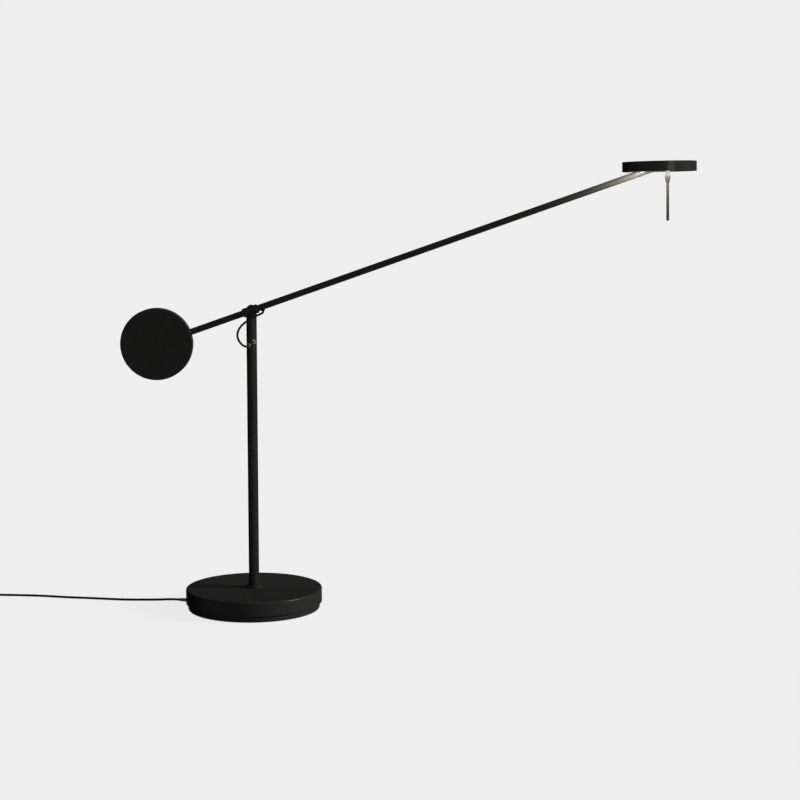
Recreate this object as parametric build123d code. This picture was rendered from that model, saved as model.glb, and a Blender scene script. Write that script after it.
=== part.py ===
from build123d import *
import math
import os

# Counterweight balance desk lamp, in millimetres, +Z up.
# The origin is the centre of the base's underside. The arm points along +X at rest.

# Clearances
RUNNING = 0.05          # radial play of a shaft that turns in its hole
SLIP = 0.05             # play round a piece that is fixed in a hole
AXIAL = 0.05            # play between faces that slide on each other

# Base
BASE_RADIUS = 92.5
BASE_HEIGHT = 28.0
BASE_EDGE_ROUND = 1.8
COVER_WALL = 2.6
COVER_TOP = 3.0
FOOT_HEIGHT = 8.7       # height of the cover's rim above the table
FOOT_INSET = 3.0        # how far the foot stands back under the rim
PAD_THICKNESS = 1.2
PAD_INSET = 0.7
PLATE_FLOOR = 3.0
PLATE_RING = 5.7
PLATE_RISE = 2.5        # how far the plate's ring reaches up inside the cover
BALLAST_THICKNESS = 10.0
BALLAST_GAP = 2.0       # between the ballast and the plate's ring
BALLAST_CLEARANCE = 2.0     # between the ballast's bore and the stop tab
SCREW_COUNT = 3
SCREW_AZIMUTH = 90.0    # degrees, of the first screw
SCREW_INSET = 8.0       # from the inside of the plate's ring
SCREW_BOSS_RADIUS = 4.0
SCREW_BOSS_ROOM = 0.5
SCREW_RADIUS = 1.5
SCREW_HEAD_RADIUS = 2.8
SCREW_HEAD_HEIGHT = 1.5
SCREW_LENGTH = 14.0

# Touch switch and control board
DIMPLE_INSET = 30.5     # from the base's rim
DIMPLE_RADIUS = 6.0
DIMPLE_DEPTH = 1.2
BOARD_LENGTH = 32.0
BOARD_WIDTH = 24.0
BOARD_THICKNESS = 1.6
STANDOFF_RADIUS = 1.8
STANDOFF_HEIGHT = 4.8
STANDOFF_INSET = 3.6    # from the board's edges
CONTACT_RADIUS = 2.5

# Post bearing in the base
SPINDLE_RADIUS = 6.0
BUSH_WALL = 3.0
BUSH_BRIM = 1.4         # how far the bush's flange covers the cover
BUSH_FLANGE = 0.5
HUB_WALL = 7.0
HUB_DROP = 8.0          # length of the hub under the cover's top
FLANGE_RADIUS = 11.0
FLANGE_THICKNESS = 2.0
FLANGE_CHAMFER = 0.5
SPINDLE_PLUG = 18.0     # length of the spindle inside the post tube
LEAD_ROOM = 0.9         # round the lead in the spindle's bore
STOP_WASHER_BRIM = 5.0
STOP_WASHER_THICKNESS = 1.0
STOP_TAB_WIDTH = 5.0
STOP_PIN_AZIMUTH = 180.0
STOP_PIN_RADIUS = 1.5
STOP_PIN_DROP = 3.0
STOP_PIN_DEPTH = 4.0
NUT_BRIM = 2.5
NUT_THICKNESS = 5.0

# Post
POST_RADIUS = 7.0
POST_WALL = 1.5
PIVOT_HEIGHT = 406.0
CAP_SHOULDER = 10.0     # how far the tube ends below the pivot
CAP_PLUG = 16.0
DOME_RISE = 0.6

# Pivot
SLEEVE_GAP = 1.0        # between the post and the sleeve
PIVOT_SCREW_RADIUS = 2.0
PIVOT_SCREW_REACH = 2.5     # past the arm's centre line
PIVOT_HEAD_RADIUS = 3.4
PIVOT_HEAD_HEIGHT = 3.0
PIVOT_HEAD_ROOM = 0.2
PIVOT_HEX = 3.0         # across flats
PIVOT_HEX_DEPTH = 1.5
COUNTERBORE_FLOOR = 1.5     # behind the post's centre
WASHER_THICKNESS = 0.5
WASHER_RADIUS = 4.6
SPRING_WASHER_THICKNESS = 0.75
PLUG_THICKNESS = 0.8

# Arm
ARM_ELEVATION = 19.4    # degrees, at rest
ARM_RADIUS = 4.25
ARM_WALL = 1.0
SLEEVE_WALL = 1.75
SLEEVE_LENGTH = 21.0
SLEEVE_BOSS_RADIUS = 4.5
INSERT_LENGTH = 16.0
SET_SCREW_RADIUS = 1.5
SET_SCREW_AT = -7.6     # along the arm from the pivot
SET_SCREW_HEX = 1.5
SET_SCREW_HEX_DEPTH = 0.9
LEAD_END_GAP = 0.3      # between the lead and the knuckle's shank

# Counterweight
WEIGHT_REACH = 133.0    # from the pivot to its centre
WEIGHT_RADIUS = 48.0
WEIGHT_THICKNESS = 15.0
WEIGHT_EDGE = 0.7
WEIGHT_SOCKET = 30.0    # how deep the arm goes into its rim
WEIGHT_SCREW_RADIUS = 2.0
WEIGHT_SCREW_SINK = 0.3     # below the counterweight's face
WEIGHT_HEX = 2.0
WEIGHT_HEX_DEPTH = 1.2

# Head, in a frame whose origin is the head's hinge
HEAD_REACH = 574.0      # from the pivot to the head's hinge
HEAD_TILT = 1.1         # degrees, far side up, at rest
HEAD_RADIUS = 48.75
HEAD_HEIGHT = 13.2
HEAD_WALL = 1.6
HEAD_EDGE_ROUND = 0.8
SPREADER_THICKNESS = 1.5
SPREADER_GAP = 0.65     # inside the shell's wall
LIGHT_BOARD_THICKNESS = 1.2
LIGHT_BOARD_GAP = 1.15
LIGHT_BOARD_MARGIN = 3.0    # round the hub's plate
CHIP_COUNT = 24
CHIP_CIRCLE = 33.0
CHIP_LENGTH = 3.5
CHIP_WIDTH = 2.8
CHIP_THICKNESS = 0.7
DIFFUSER_THICKNESS = 2.0
DIFFUSER_RECESS = 2.6
DIFFUSER_MARGIN = 1.0       # round the hub's plate
DIFFUSER_SLOT_END = 32.0
DIFFUSER_SLOT_PLAY = 1.0
SPACER_WALL = 1.6

# Knuckle between the arm and the head
TIP_GAP = 14.0          # from the tube's end to the hinge
TIP_BUSH_LENGTH = 14.0
SHANK_RADIUS = 2.0
SHOULDER_REACH = 8.0    # from the hinge back to the knuckle's shoulder
KNUCKLE_PLAY = 0.2      # between the tube's end and the knuckle
TONGUE_GAP = 0.3        # between the tongue and the hub's plate
TONGUE_THICKNESS = 4.0
TONGUE_PLAY = 0.1       # between the tongue and each ear
CLIP_GAP = 0.25         # inside the arm's bore
CLIP_THICKNESS = 1.2
HINGE_PIN_RADIUS = 1.5
EAR_THICKNESS = 3.0
EAR_RIM = 0.5           # how much larger the ears are than the tongue
HUB_RIM = 1.3           # round the handle's socket
HUB_PLATE_THICKNESS = 1.2
HUB_SCREW_CIRCLE = 10.5
HUB_SCREW_AZIMUTHS = (60, 120, 240, 300)
HUB_SCREW_REACH = 0.8   # into the shell's top
HUB_SCREW_RADIUS = 1.2
HUB_SCREW_HEAD_RADIUS = 2.1
HUB_SCREW_HEAD_HEIGHT = 1.4

# Handle under the head
HANDLE_OFFSET = 11.0
SOCKET_NECK_RADIUS = 2.7
SOCKET_BULGE_RADIUS = 3.6
SOCKET_BULGE_DROP = 6.0     # from the head's lip down to the widest place
SOCKET_DROP = 14.5          # from the lip down to the socket's end
SOCKET_END_WALL = 0.3
SOCKET_END_SLOPE = 0.35
SOCKET_DEPTH = 6.0
ROD_RADIUS = 1.9
ROD_DROP = 65.0             # from the lip down to the rod's tip

# Loop of cable between the arm and the post, by places from the post's centre at pivot height
LOOP_RADIUS = 1.5
GLAND_WALL = 0.5
GLAND_SIDE = 2.75           # sideways from the post's centre
GLAND_DROP = 41.8
GLAND_REACH = Vector(-5.55, -10.5, -4.1)    # from its seat on the post to its tip
GLAND_RING_WALL = 0.4
GLAND_RING_LENGTH = 1.2
GLAND_SEAT_WALL = 0.9
GLAND_SEAT_RISE = 1.6
GROMMET_AT = 16.5           # along the arm from the pivot
GROMMET_TURN = 40.0         # degrees from straight down towards the front
GROMMET_WALL = 0.55
GROMMET_BRIM = 0.7
GROMMET_RISE = 1.5
LOOP_STUB = 4.0             # straight run out of the gland
LOOP_ROUTE = [
    (-8.4, -22.4, -46.7),
    (-13.4, -23.0, -42.1),
    (-17.0, -23.3, -35.3),
    (-16.8, -23.6, -27.8),
    (-12.4, -24.0, -19.7),
    (-4.7, -24.4, -13.4),
    (4.1, -25.0, -7.6),
    (10.8, -25.0, -5.1),
    (15.4, -23.9, -4.1),
]
LOOP_LAST_DROP = 5.0        # straight run into the grommet
ROUTE_SHARE = 0.45          # of the shorter run that a corner's arc takes

# Mains cord
CORD_RADIUS = 1.6
CORD_LIFT = 0.05            # between the lying cord and the table
CORD_AZIMUTH = 166.0        # degrees, where the cord leaves the foot
CORD_STUB = 13.0            # straight run out of the strain relief
RELIEF_ROOT_WALL = 1.1
RELIEF_TIP_WALL = 0.4
RELIEF_LENGTH = 19.2
RELIEF_RISE = 2.9       # from the pad up to the cord's centre
CORD_FLOOR = CORD_RADIUS + CORD_LIFT
CORD_ROUTE = [
    (-136.0, 34.2, 2.1),
    (-157.0, 36.2, CORD_FLOOR),
    (-182.0, 36.4, CORD_FLOOR),
    (-207.0, 40.6, CORD_FLOOR),
    (-236.0, 46.4, CORD_FLOOR),
    (-268.0, 51.2, CORD_FLOOR),
    (-299.0, 59.2, CORD_FLOOR),
    (-332.0, 63.4, CORD_FLOOR),
    (-358.0, 65.0, CORD_FLOOR),
    (-378.0, 67.1, CORD_FLOOR),
]

# Coil of the cord's stored length
COIL_CENTRE = Vector(-395.0, 42.0, CORD_FLOOR)
COIL_RADIUS = 24.7          # of the outermost turn's centre line
COIL_GAP = 0.6              # from turn to turn and from layer to layer
LAYER_TURNS = 3
LAYERS = 4
COIL_START = 90.0           # degrees, where the cord joins the coil
COIL_EXTRA = 0.25           # turns past the last layer, to where the cord leaves
HALF_CLIMB = 0.25           # turns on each side of a change of layer
ARCS_PER_TURN = 4

# Plug-in adapter at the cord's end
ADAPTER_WIDTH = 32.0
ADAPTER_LENGTH = 58.0
ADAPTER_WALL = 2.0
ADAPTER_RIM = 2.0           # of the case round its face
ADAPTER_ROUND = 3.0
ADAPTER_LIFT = 0.1
ADAPTER_RELIEF_LENGTH = 22.0
PLUG_PIN_RADIUS = 2.0
PLUG_PIN_LENGTH = 19.0
PLUG_PIN_ROOT = 5.0         # inside the case
PLUG_PIN_SPACING = 18.6
ADAPTER_BOARD_LENGTH = 44.0
ADAPTER_BOARD_THICKNESS = 1.6

# Places that follow from the sizes above
COVER_INNER_RADIUS = BASE_RADIUS - COVER_WALL
CEILING = BASE_HEIGHT - COVER_TOP
FOOT_RADIUS = BASE_RADIUS - FOOT_INSET
RING_RADIUS = FOOT_RADIUS - PLATE_RING
PLATE_TOP = PAD_THICKNESS + PLATE_FLOOR
SCREW_CIRCLE = RING_RADIUS - SCREW_INSET
DIMPLE_REACH = BASE_RADIUS - DIMPLE_INSET
BALLAST_TOP = PLATE_TOP + BALLAST_THICKNESS
BOARD_BOTTOM = BALLAST_TOP + STANDOFF_HEIGHT
BUSH_RADIUS = SPINDLE_RADIUS + BUSH_WALL
HUB_RADIUS = BUSH_RADIUS + HUB_WALL
HUB_BOTTOM = CEILING - HUB_DROP
STOP_WASHER_RADIUS = SPINDLE_RADIUS + STOP_WASHER_BRIM
STOP_PIN_CIRCLE = (STOP_WASHER_RADIUS + HUB_RADIUS) / 2
STOP_TAB_REACH = STOP_PIN_CIRCLE + STOP_PIN_RADIUS
STOP_WASHER_TOP = HUB_BOTTOM - 2 * AXIAL
NUT_TOP = STOP_WASHER_TOP - STOP_WASHER_THICKNESS
SPINDLE_BOTTOM = NUT_TOP - NUT_THICKNESS
WIRE_BORE = LOOP_RADIUS + LEAD_ROOM
FLANGE_BOTTOM = BASE_HEIGHT + BUSH_FLANGE + AXIAL
POST_FOOT = FLANGE_BOTTOM + FLANGE_THICKNESS
POST_BORE = POST_RADIUS - POST_WALL
POST_TOP = PIVOT_HEIGHT - CAP_SHOULDER
LEAD_RADIUS = LOOP_RADIUS - SLIP
ARM_BORE = ARM_RADIUS - ARM_WALL
SLEEVE_RADIUS = ARM_RADIUS + SLEEVE_WALL
ARM_OFFSET = POST_RADIUS + SLEEVE_GAP + SLEEVE_RADIUS   # the arm's plane lies this far in front of the post
SLEEVE_BACK = -ARM_OFFSET + SLEEVE_RADIUS
CAP_FACE = SLEEVE_BACK + AXIAL + WASHER_THICKNESS
WASHER_SEAT = ARM_OFFSET + COUNTERBORE_FLOOR + AXIAL    # behind the arm's centre line
HEAD_SEAT = WASHER_SEAT + SPRING_WASHER_THICKNESS
ARM_START = -(WEIGHT_REACH - WEIGHT_RADIUS + WEIGHT_SOCKET)
ARM_END = HEAD_REACH - TIP_GAP
BUSH_BACK = ARM_END - TIP_BUSH_LENGTH
SHANK_BACK = BUSH_BACK - 2 * CLIP_THICKNESS
GLAND_RADIUS = LOOP_RADIUS + GLAND_WALL
GLAND_SEAT = Vector(GLAND_SIDE, -math.sqrt(POST_RADIUS**2 - GLAND_SIDE**2), PIVOT_HEIGHT - GLAND_DROP)
GLAND_TIP = GLAND_SEAT + GLAND_REACH
GROMMET_NECK = LOOP_RADIUS + GROMMET_WALL
GROMMET_OUTLET = ARM_RADIUS + GROMMET_RISE
LIP = -HEAD_HEIGHT / 2
SHELL_CEILING = HEAD_HEIGHT / 2 - HEAD_WALL
HEAD_BORE = HEAD_RADIUS - HEAD_WALL
SPREADER_BOTTOM = SHELL_CEILING - SPREADER_THICKNESS
LIGHT_BOARD_BOTTOM = SPREADER_BOTTOM - LIGHT_BOARD_THICKNESS
HUB_PLATE_RADIUS = HANDLE_OFFSET + SOCKET_NECK_RADIUS + HUB_RIM
HUB_PLATE_BOTTOM = SHELL_CEILING - HUB_PLATE_THICKNESS
TONGUE_RADIUS = HUB_PLATE_BOTTOM - TONGUE_GAP
EAR_RADIUS = TONGUE_RADIUS + EAR_RIM
EAR_FACE = TONGUE_THICKNESS / 2 + TONGUE_PLAY
DIFFUSER_BOTTOM = LIP + DIFFUSER_RECESS
DIFFUSER_TOP = DIFFUSER_BOTTOM + DIFFUSER_THICKNESS
SOCKET_END_RADIUS = ROD_RADIUS + SOCKET_END_WALL
RELIEF_ROOT_RADIUS = CORD_RADIUS + RELIEF_ROOT_WALL
RELIEF_TIP_RADIUS = CORD_RADIUS + RELIEF_TIP_WALL
RELIEF_HEIGHT = PAD_THICKNESS + RELIEF_RISE
COIL_PITCH = 2 * CORD_RADIUS + COIL_GAP
COIL_TURNS = LAYERS * LAYER_TURNS + COIL_EXTRA
ADAPTER_HEIGHT = 2 * (CORD_FLOOR + (LAYERS - 1) * COIL_PITCH - ADAPTER_LIFT)
INNER_HEIGHT = ADAPTER_HEIGHT - 2 * ADAPTER_WALL
INNER_WIDTH = ADAPTER_WIDTH - 2 * ADAPTER_WALL

# Frames of the arm and the head at rest
ARM_FRAME = Location((0, -ARM_OFFSET, PIVOT_HEIGHT), (0, -ARM_ELEVATION, 0))
HEAD_HINGE = (ARM_FRAME * Location((HEAD_REACH, 0, 0))).position
HEAD_FRAME = Location(HEAD_HINGE, (0, -HEAD_TILT, 0))


def rod(start, end, radius):
    """A round bar from one point to another."""
    along = Vector(end) - Vector(start)
    return extrude(Plane(origin=start, z_dir=along) * Circle(radius), along.length)


def ring(start, end, outer, inner):
    """A round tube from one point to another."""
    return rod(start, end, outer) - rod(start, end, inner)


def disc(bottom, top, outer, inner=0.0):
    """A disc or ring about the Z axis, between two heights."""
    if inner > 0:
        return ring((0, 0, bottom), (0, 0, top), outer, inner)
    return rod((0, 0, bottom), (0, 0, top), outer)


def up(point, height):
    """The point raised to a height above its own."""
    return point + Vector(0, 0, height)


def polar(radius, degrees, height=0.0):
    """A point at a radius and an angle from +X."""
    angle = math.radians(degrees)
    return Vector(radius * math.cos(angle), radius * math.sin(angle), height)


def place_all(shapes, frame):
    """The shapes moved from a local frame to the lamp's frame."""
    return {name: frame * shape for name, shape in shapes.items()}


# Base


def base_cover():
    """The turned cover: top, wall, hub for the bush, bosses for the screws, dimple."""
    outer = disc(FOOT_HEIGHT, BASE_HEIGHT, BASE_RADIUS)
    outer = fillet(outer.edges().sort_by(Axis.Z)[-1], BASE_EDGE_ROUND)
    cover = outer - disc(FOOT_HEIGHT, CEILING, COVER_INNER_RADIUS)
    cover += disc(HUB_BOTTOM, CEILING, HUB_RADIUS)
    cover -= disc(HUB_BOTTOM, BASE_HEIGHT, BUSH_RADIUS + SLIP)
    for foot in screw_places():
        cover += rod(up(foot, PLATE_TOP), up(foot, CEILING), SCREW_BOSS_RADIUS)
        cover -= rod(foot, up(foot, PAD_THICKNESS + SCREW_LENGTH + SLIP), SCREW_RADIUS + SLIP)
    cover -= stop_pin(SLIP)
    ball = (DIMPLE_RADIUS**2 + DIMPLE_DEPTH**2) / (2 * DIMPLE_DEPTH)
    return cover - Location((0, -DIMPLE_REACH, BASE_HEIGHT - DIMPLE_DEPTH + ball)) * Sphere(ball)


def screw_places():
    """Where the base screws stand, at table height."""
    return [polar(SCREW_CIRCLE, SCREW_AZIMUTH + 360 * i / SCREW_COUNT) for i in range(SCREW_COUNT)]


def base_screws():
    """The screws that hold the plate to the cover's bosses."""
    screws = []
    for foot in screw_places():
        seat = up(foot, PAD_THICKNESS)
        head = rod(seat, up(seat, SCREW_HEAD_HEIGHT), SCREW_HEAD_RADIUS)
        screws.append(head + rod(seat, up(seat, SCREW_LENGTH), SCREW_RADIUS))
    return Compound(children=screws)


def relief_axis(reach):
    """A point on the line along which the cord leaves the foot."""
    return polar(reach, CORD_AZIMUTH, RELIEF_HEIGHT)


def base_plate():
    """The dished plate whose rim is the visible foot."""
    plate = disc(PAD_THICKNESS, FOOT_HEIGHT + PLATE_RISE, FOOT_RADIUS)
    plate -= disc(PLATE_TOP, FOOT_HEIGHT + PLATE_RISE, RING_RADIUS)
    for foot in screw_places():
        plate -= rod(foot, up(foot, PLATE_TOP), SCREW_RADIUS + SLIP)
        plate -= rod(foot, up(foot, PAD_THICKNESS + SCREW_HEAD_HEIGHT), SCREW_HEAD_RADIUS + SLIP)
    inner = relief_axis(RING_RADIUS - PLATE_RING)
    return plate - rod(inner, relief_axis(BASE_RADIUS), RELIEF_ROOT_RADIUS + SLIP)


def base_ballast():
    """The heavy disc, with clearance for the screw bosses and legs for the board."""
    bore = STOP_TAB_REACH + BALLAST_CLEARANCE
    weight = disc(PLATE_TOP, BALLAST_TOP, RING_RADIUS - BALLAST_GAP, bore)
    for foot in screw_places():
        weight -= rod(foot, up(foot, BALLAST_TOP), SCREW_BOSS_RADIUS + SCREW_BOSS_ROOM)
    spread_x = BOARD_LENGTH / 2 - STANDOFF_INSET
    spread_y = BOARD_WIDTH / 2 - STANDOFF_INSET
    for x in (-spread_x, spread_x):
        for y in (-spread_y, spread_y):
            foot = Vector(x, y - DIMPLE_REACH, BALLAST_TOP)
            weight += rod(foot, up(foot, STANDOFF_HEIGHT), STANDOFF_RADIUS)
    return weight


def control_board():
    """The touch dimmer's circuit board, on the ballast's legs."""
    centre = (0, -DIMPLE_REACH, BOARD_BOTTOM + BOARD_THICKNESS / 2)
    return Location(centre) * Box(BOARD_LENGTH, BOARD_WIDTH, BOARD_THICKNESS)


def touch_contact():
    """The contact between the board and the cover under the dimple."""
    foot = Vector(0, -DIMPLE_REACH, 0)
    return rod(up(foot, BOARD_BOTTOM + BOARD_THICKNESS), up(foot, CEILING), CONTACT_RADIUS)


def stop_pin(play=0.0):
    """The pin in the hub that limits the post's turn."""
    foot = polar(STOP_PIN_CIRCLE, STOP_PIN_AZIMUTH, HUB_BOTTOM)
    top = up(foot, STOP_PIN_DEPTH + play)
    return rod(up(foot, -STOP_PIN_DROP), top, STOP_PIN_RADIUS + play)


def post_bush():
    """The flanged bush in which the post turns."""
    brim_top = BASE_HEIGHT + BUSH_FLANGE
    bush = disc(HUB_BOTTOM, BASE_HEIGHT, BUSH_RADIUS)
    bush += disc(BASE_HEIGHT, brim_top, BUSH_RADIUS + BUSH_BRIM)
    return bush - disc(HUB_BOTTOM, brim_top, SPINDLE_RADIUS + RUNNING)


def tapered(start, end, root_radius, tip_radius):
    """A round bar that narrows from one point to another."""
    along = Vector(end) - Vector(start)
    root = Plane(origin=start, z_dir=along) * Circle(root_radius)
    return loft([root, Plane(origin=end, z_dir=along) * Circle(tip_radius)])


def cord_relief():
    """The tapered strain relief in the foot's rim."""
    mouth = relief_axis(FOOT_RADIUS)
    root = rod(relief_axis(RING_RADIUS), mouth, RELIEF_ROOT_RADIUS)
    tip = relief_axis(FOOT_RADIUS + RELIEF_LENGTH)
    return root + tapered(mouth, tip, RELIEF_ROOT_RADIUS, RELIEF_TIP_RADIUS)


def base_nodes():
    """Every piece that stays with the base."""
    return {
        "base_cover": base_cover(),
        "base_plate": base_plate(),
        "foot_pad": disc(0, PAD_THICKNESS, FOOT_RADIUS - PAD_INSET),
        "base_ballast": base_ballast(),
        "base_screws": base_screws(),
        "control_board": control_board(),
        "touch_contact": touch_contact(),
        "stop_pin": stop_pin(),
        "post_bush": post_bush(),
        "cord_relief": cord_relief(),
    }


# Post


def post_spindle():
    """The turned spindle: visible flange, shaft in the bush, plug in the tube."""
    flange = disc(FLANGE_BOTTOM, POST_FOOT, FLANGE_RADIUS)
    flange = chamfer(flange.edges().sort_by(Axis.Z)[-1], FLANGE_CHAMFER)
    spindle = flange + disc(SPINDLE_BOTTOM, FLANGE_BOTTOM, SPINDLE_RADIUS)
    spindle += disc(POST_FOOT, POST_FOOT + SPINDLE_PLUG, POST_BORE - SLIP)
    return spindle - disc(SPINDLE_BOTTOM, POST_FOOT + SPINDLE_PLUG, WIRE_BORE)


def stop_washer():
    """The washer under the hub, whose tab meets the stop pin."""
    washer = disc(NUT_TOP, STOP_WASHER_TOP, STOP_WASHER_RADIUS)
    tab_centre = (STOP_TAB_REACH / 2, 0, (NUT_TOP + STOP_WASHER_TOP) / 2)
    washer += Location(tab_centre) * Box(STOP_TAB_REACH, STOP_TAB_WIDTH, STOP_WASHER_THICKNESS)
    return washer - disc(NUT_TOP, STOP_WASHER_TOP, SPINDLE_RADIUS + SLIP)


def lock_nut():
    """The hexagon nut on the spindle's end."""
    hexagon = RegularPolygon(SPINDLE_RADIUS + NUT_BRIM, 6, major_radius=False)
    nut = extrude(Location((0, 0, SPINDLE_BOTTOM)) * hexagon, NUT_THICKNESS)
    return nut - disc(SPINDLE_BOTTOM, NUT_TOP, SPINDLE_RADIUS + SLIP)


def gland_path(radius, start=0.0):
    """A bent bar: out through the post's wall from a distance off its axis, then along the gland."""
    axis = Vector(0, 0, GLAND_SEAT.Z)
    outward = (GLAND_SEAT - axis).normalized()
    bar = rod(axis + outward * start, GLAND_SEAT, radius) + Location(GLAND_SEAT) * Sphere(radius)
    return bar + rod(GLAND_SEAT, GLAND_TIP, radius)


def post_tube():
    """The post, with the hole for the gland in its front wall."""
    return disc(POST_FOOT, POST_TOP, POST_RADIUS, POST_BORE) - gland_path(GLAND_RADIUS + SLIP)


def across(start, end, radius):
    """A bar along Y through the pivot, between two distances from the post's centre."""
    return rod((0, start, PIVOT_HEIGHT), (0, end, PIVOT_HEIGHT), radius)


def post_cap():
    """The domed cap with the pivot's cross bore and front boss."""
    dome_centre = PIVOT_HEIGHT + DOME_RISE
    dome = Location((0, 0, dome_centre)) * Sphere(POST_RADIUS)
    cap = disc(POST_TOP - CAP_PLUG, POST_TOP, POST_BORE - SLIP)
    cap += disc(POST_TOP, dome_centre, POST_RADIUS)
    cap += dome & disc(dome_centre, dome_centre + 2 * POST_RADIUS, 2 * POST_RADIUS)
    cap += across(0, CAP_FACE, SLEEVE_BOSS_RADIUS)
    cap -= across(CAP_FACE, POST_RADIUS, PIVOT_SCREW_RADIUS + RUNNING)
    return cap - across(COUNTERBORE_FLOOR, POST_RADIUS, PIVOT_HEAD_RADIUS + PIVOT_HEAD_ROOM)


def friction_washer():
    """The washer between the cap's boss and the sleeve."""
    start, end = (0, CAP_FACE, PIVOT_HEIGHT), (0, SLEEVE_BACK + AXIAL, PIVOT_HEIGHT)
    return ring(start, end, WASHER_RADIUS, PIVOT_SCREW_RADIUS + RUNNING)


def pivot_plug():
    """The cover over the pivot screw's head, pressed in behind it."""
    start = HEAD_SEAT - ARM_OFFSET + PIVOT_HEAD_HEIGHT + 2 * AXIAL
    return across(start, start + PLUG_THICKNESS, PIVOT_HEAD_RADIUS + PIVOT_HEAD_ROOM)


def post_gland():
    """The short tube that leads the cable out of the post's front."""
    return gland_path(GLAND_RADIUS, POST_BORE) - gland_path(LOOP_RADIUS + SLIP)


def gland_collar(start, end, wall):
    """A bar round the gland's straight part, by distances from its seat."""
    along = GLAND_REACH.normalized()
    return rod(GLAND_SEAT + along * start, GLAND_SEAT + along * end, GLAND_RADIUS + wall)


def gland_tip_ring():
    """The bright ring at the gland's free end."""
    length = GLAND_REACH.length
    collar = gland_collar(length - GLAND_RING_LENGTH, length, GLAND_RING_WALL)
    return collar - gland_path(GLAND_RADIUS + SLIP)


def gland_seat_ring():
    """The bright ring where the gland meets the post, shaped to the post."""
    outward = Vector(GLAND_SEAT.X, GLAND_SEAT.Y, 0).normalized()
    top = GLAND_SEAT + outward * GLAND_SEAT_RISE
    collar = rod(GLAND_SEAT - outward, top, GLAND_RADIUS + GLAND_SEAT_WALL)
    return collar - disc(0, PIVOT_HEIGHT, POST_RADIUS) - gland_path(GLAND_RADIUS + SLIP)


def post_lead():
    """The lead inside the post, up to the gland's free end."""
    elbow = Vector(0, 0, GLAND_SEAT.Z)
    riser = disc(SPINDLE_BOTTOM, GLAND_SEAT.Z, LEAD_RADIUS)
    return riser + Location(elbow) * Sphere(LEAD_RADIUS) + gland_path(LEAD_RADIUS)


def corner_radii(points):
    """The radius of the arc at each inner point of a route, as large as its two runs allow."""
    radii = []
    for before, here, after in zip(points, points[1:], points[2:]):
        run_in, run_out = here - before, after - here
        half_turn = math.radians(run_in.get_angle(run_out)) / 2
        radii.append(ROUTE_SHARE * min(run_in.length, run_out.length) / math.tan(half_turn))
    return radii


def print_volume(name, cable, path, radius):
    """Print a cable's length, and its volume beside its section times its length."""
    expected = math.pi * radius**2 * path.length
    print(name, "length", round(path.length, 1), "volume", round(cable.volume, 1), "of", round(expected, 1))


def routed(name, points, radius):
    """A round cable along a route of straight runs and tangent arcs."""
    radii = corner_radii(points)
    path = FilletPolyline(*points, radius=radii)
    cable = sweep(Plane(origin=points[0], z_dir=points[1] - points[0]) * Circle(radius), path=path)
    print(name, "radii", [round(value, 1) for value in radii])
    print_volume(name, cable, path, radius)
    return cable


def grommet_point(distance):
    """A point on the grommet's axis, in the arm's frame, by distance from the arm's centre line."""
    turn = math.radians(GROMMET_TURN)
    return Vector(GROMMET_AT, -math.sin(turn) * distance, -math.cos(turn) * distance)


def loop_cable():
    """The loop of cable from the gland on the post to the grommet in the arm."""
    pivot_height = Vector(0, 0, PIVOT_HEIGHT)
    outlet = GROMMET_OUTLET + AXIAL
    points = [GLAND_TIP, GLAND_TIP + GLAND_REACH.normalized() * LOOP_STUB]
    points += [pivot_height + Vector(place) for place in LOOP_ROUTE]
    for distance in (outlet + LOOP_LAST_DROP, outlet):
        points.append((ARM_FRAME * Location(grommet_point(distance))).position)
    return routed("loop_cable", points, LOOP_RADIUS)


def post_nodes():
    """Every piece that turns with the post."""
    return {
        "post_spindle": post_spindle(),
        "stop_washer": stop_washer(),
        "lock_nut": lock_nut(),
        "post_tube": post_tube(),
        "post_cap": post_cap(),
        "friction_washer": friction_washer(),
        "pivot_plug": pivot_plug(),
        "post_gland": post_gland(),
        "gland_tip_ring": gland_tip_ring(),
        "gland_seat_ring": gland_seat_ring(),
        "post_lead": post_lead(),
        "loop_cable": loop_cable(),
    }


# Arm, in its own frame: X along the arm, origin at the pivot


def along_arm(start, end, outer, inner=0.0):
    """A bar or tube along the arm's centre line."""
    bar = rod((start, 0, 0), (end, 0, 0), outer)
    return bar - rod((start, 0, 0), (end, 0, 0), inner) if inner > 0 else bar


def backwards(at, start, end, radius):
    """A bar along Y at a place on the arm."""
    return rod((at, start, 0), (at, end, 0), radius)


def hex_recess(at, face, across_flats, depth):
    """A hexagonal recess cut forwards from a rear face."""
    plane = Plane(origin=(at, face, 0), z_dir=(0, -1, 0))
    return extrude(plane * RegularPolygon(across_flats / 2, 6, major_radius=False), depth)


def arm_sleeve():
    """The sleeve that clamps the arm, with a flat boss against the post's cap."""
    half = SLEEVE_LENGTH / 2
    sleeve = along_arm(-half, half, SLEEVE_RADIUS) + backwards(0, 0, SLEEVE_RADIUS, SLEEVE_BOSS_RADIUS)
    sleeve -= along_arm(-half, half, ARM_RADIUS + SLIP)
    sleeve -= backwards(0, 0, SLEEVE_RADIUS, PIVOT_SCREW_RADIUS + SLIP)
    return sleeve - backwards(SET_SCREW_AT, 0, SLEEVE_RADIUS, SET_SCREW_RADIUS + SLIP)


def sleeve_set_screw():
    """The set screw behind the sleeve, with its hexagon socket."""
    screw = backwards(SET_SCREW_AT, ARM_RADIUS + SLIP, SLEEVE_RADIUS, SET_SCREW_RADIUS)
    return screw - hex_recess(SET_SCREW_AT, SLEEVE_RADIUS, SET_SCREW_HEX, SET_SCREW_HEX_DEPTH)


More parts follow.
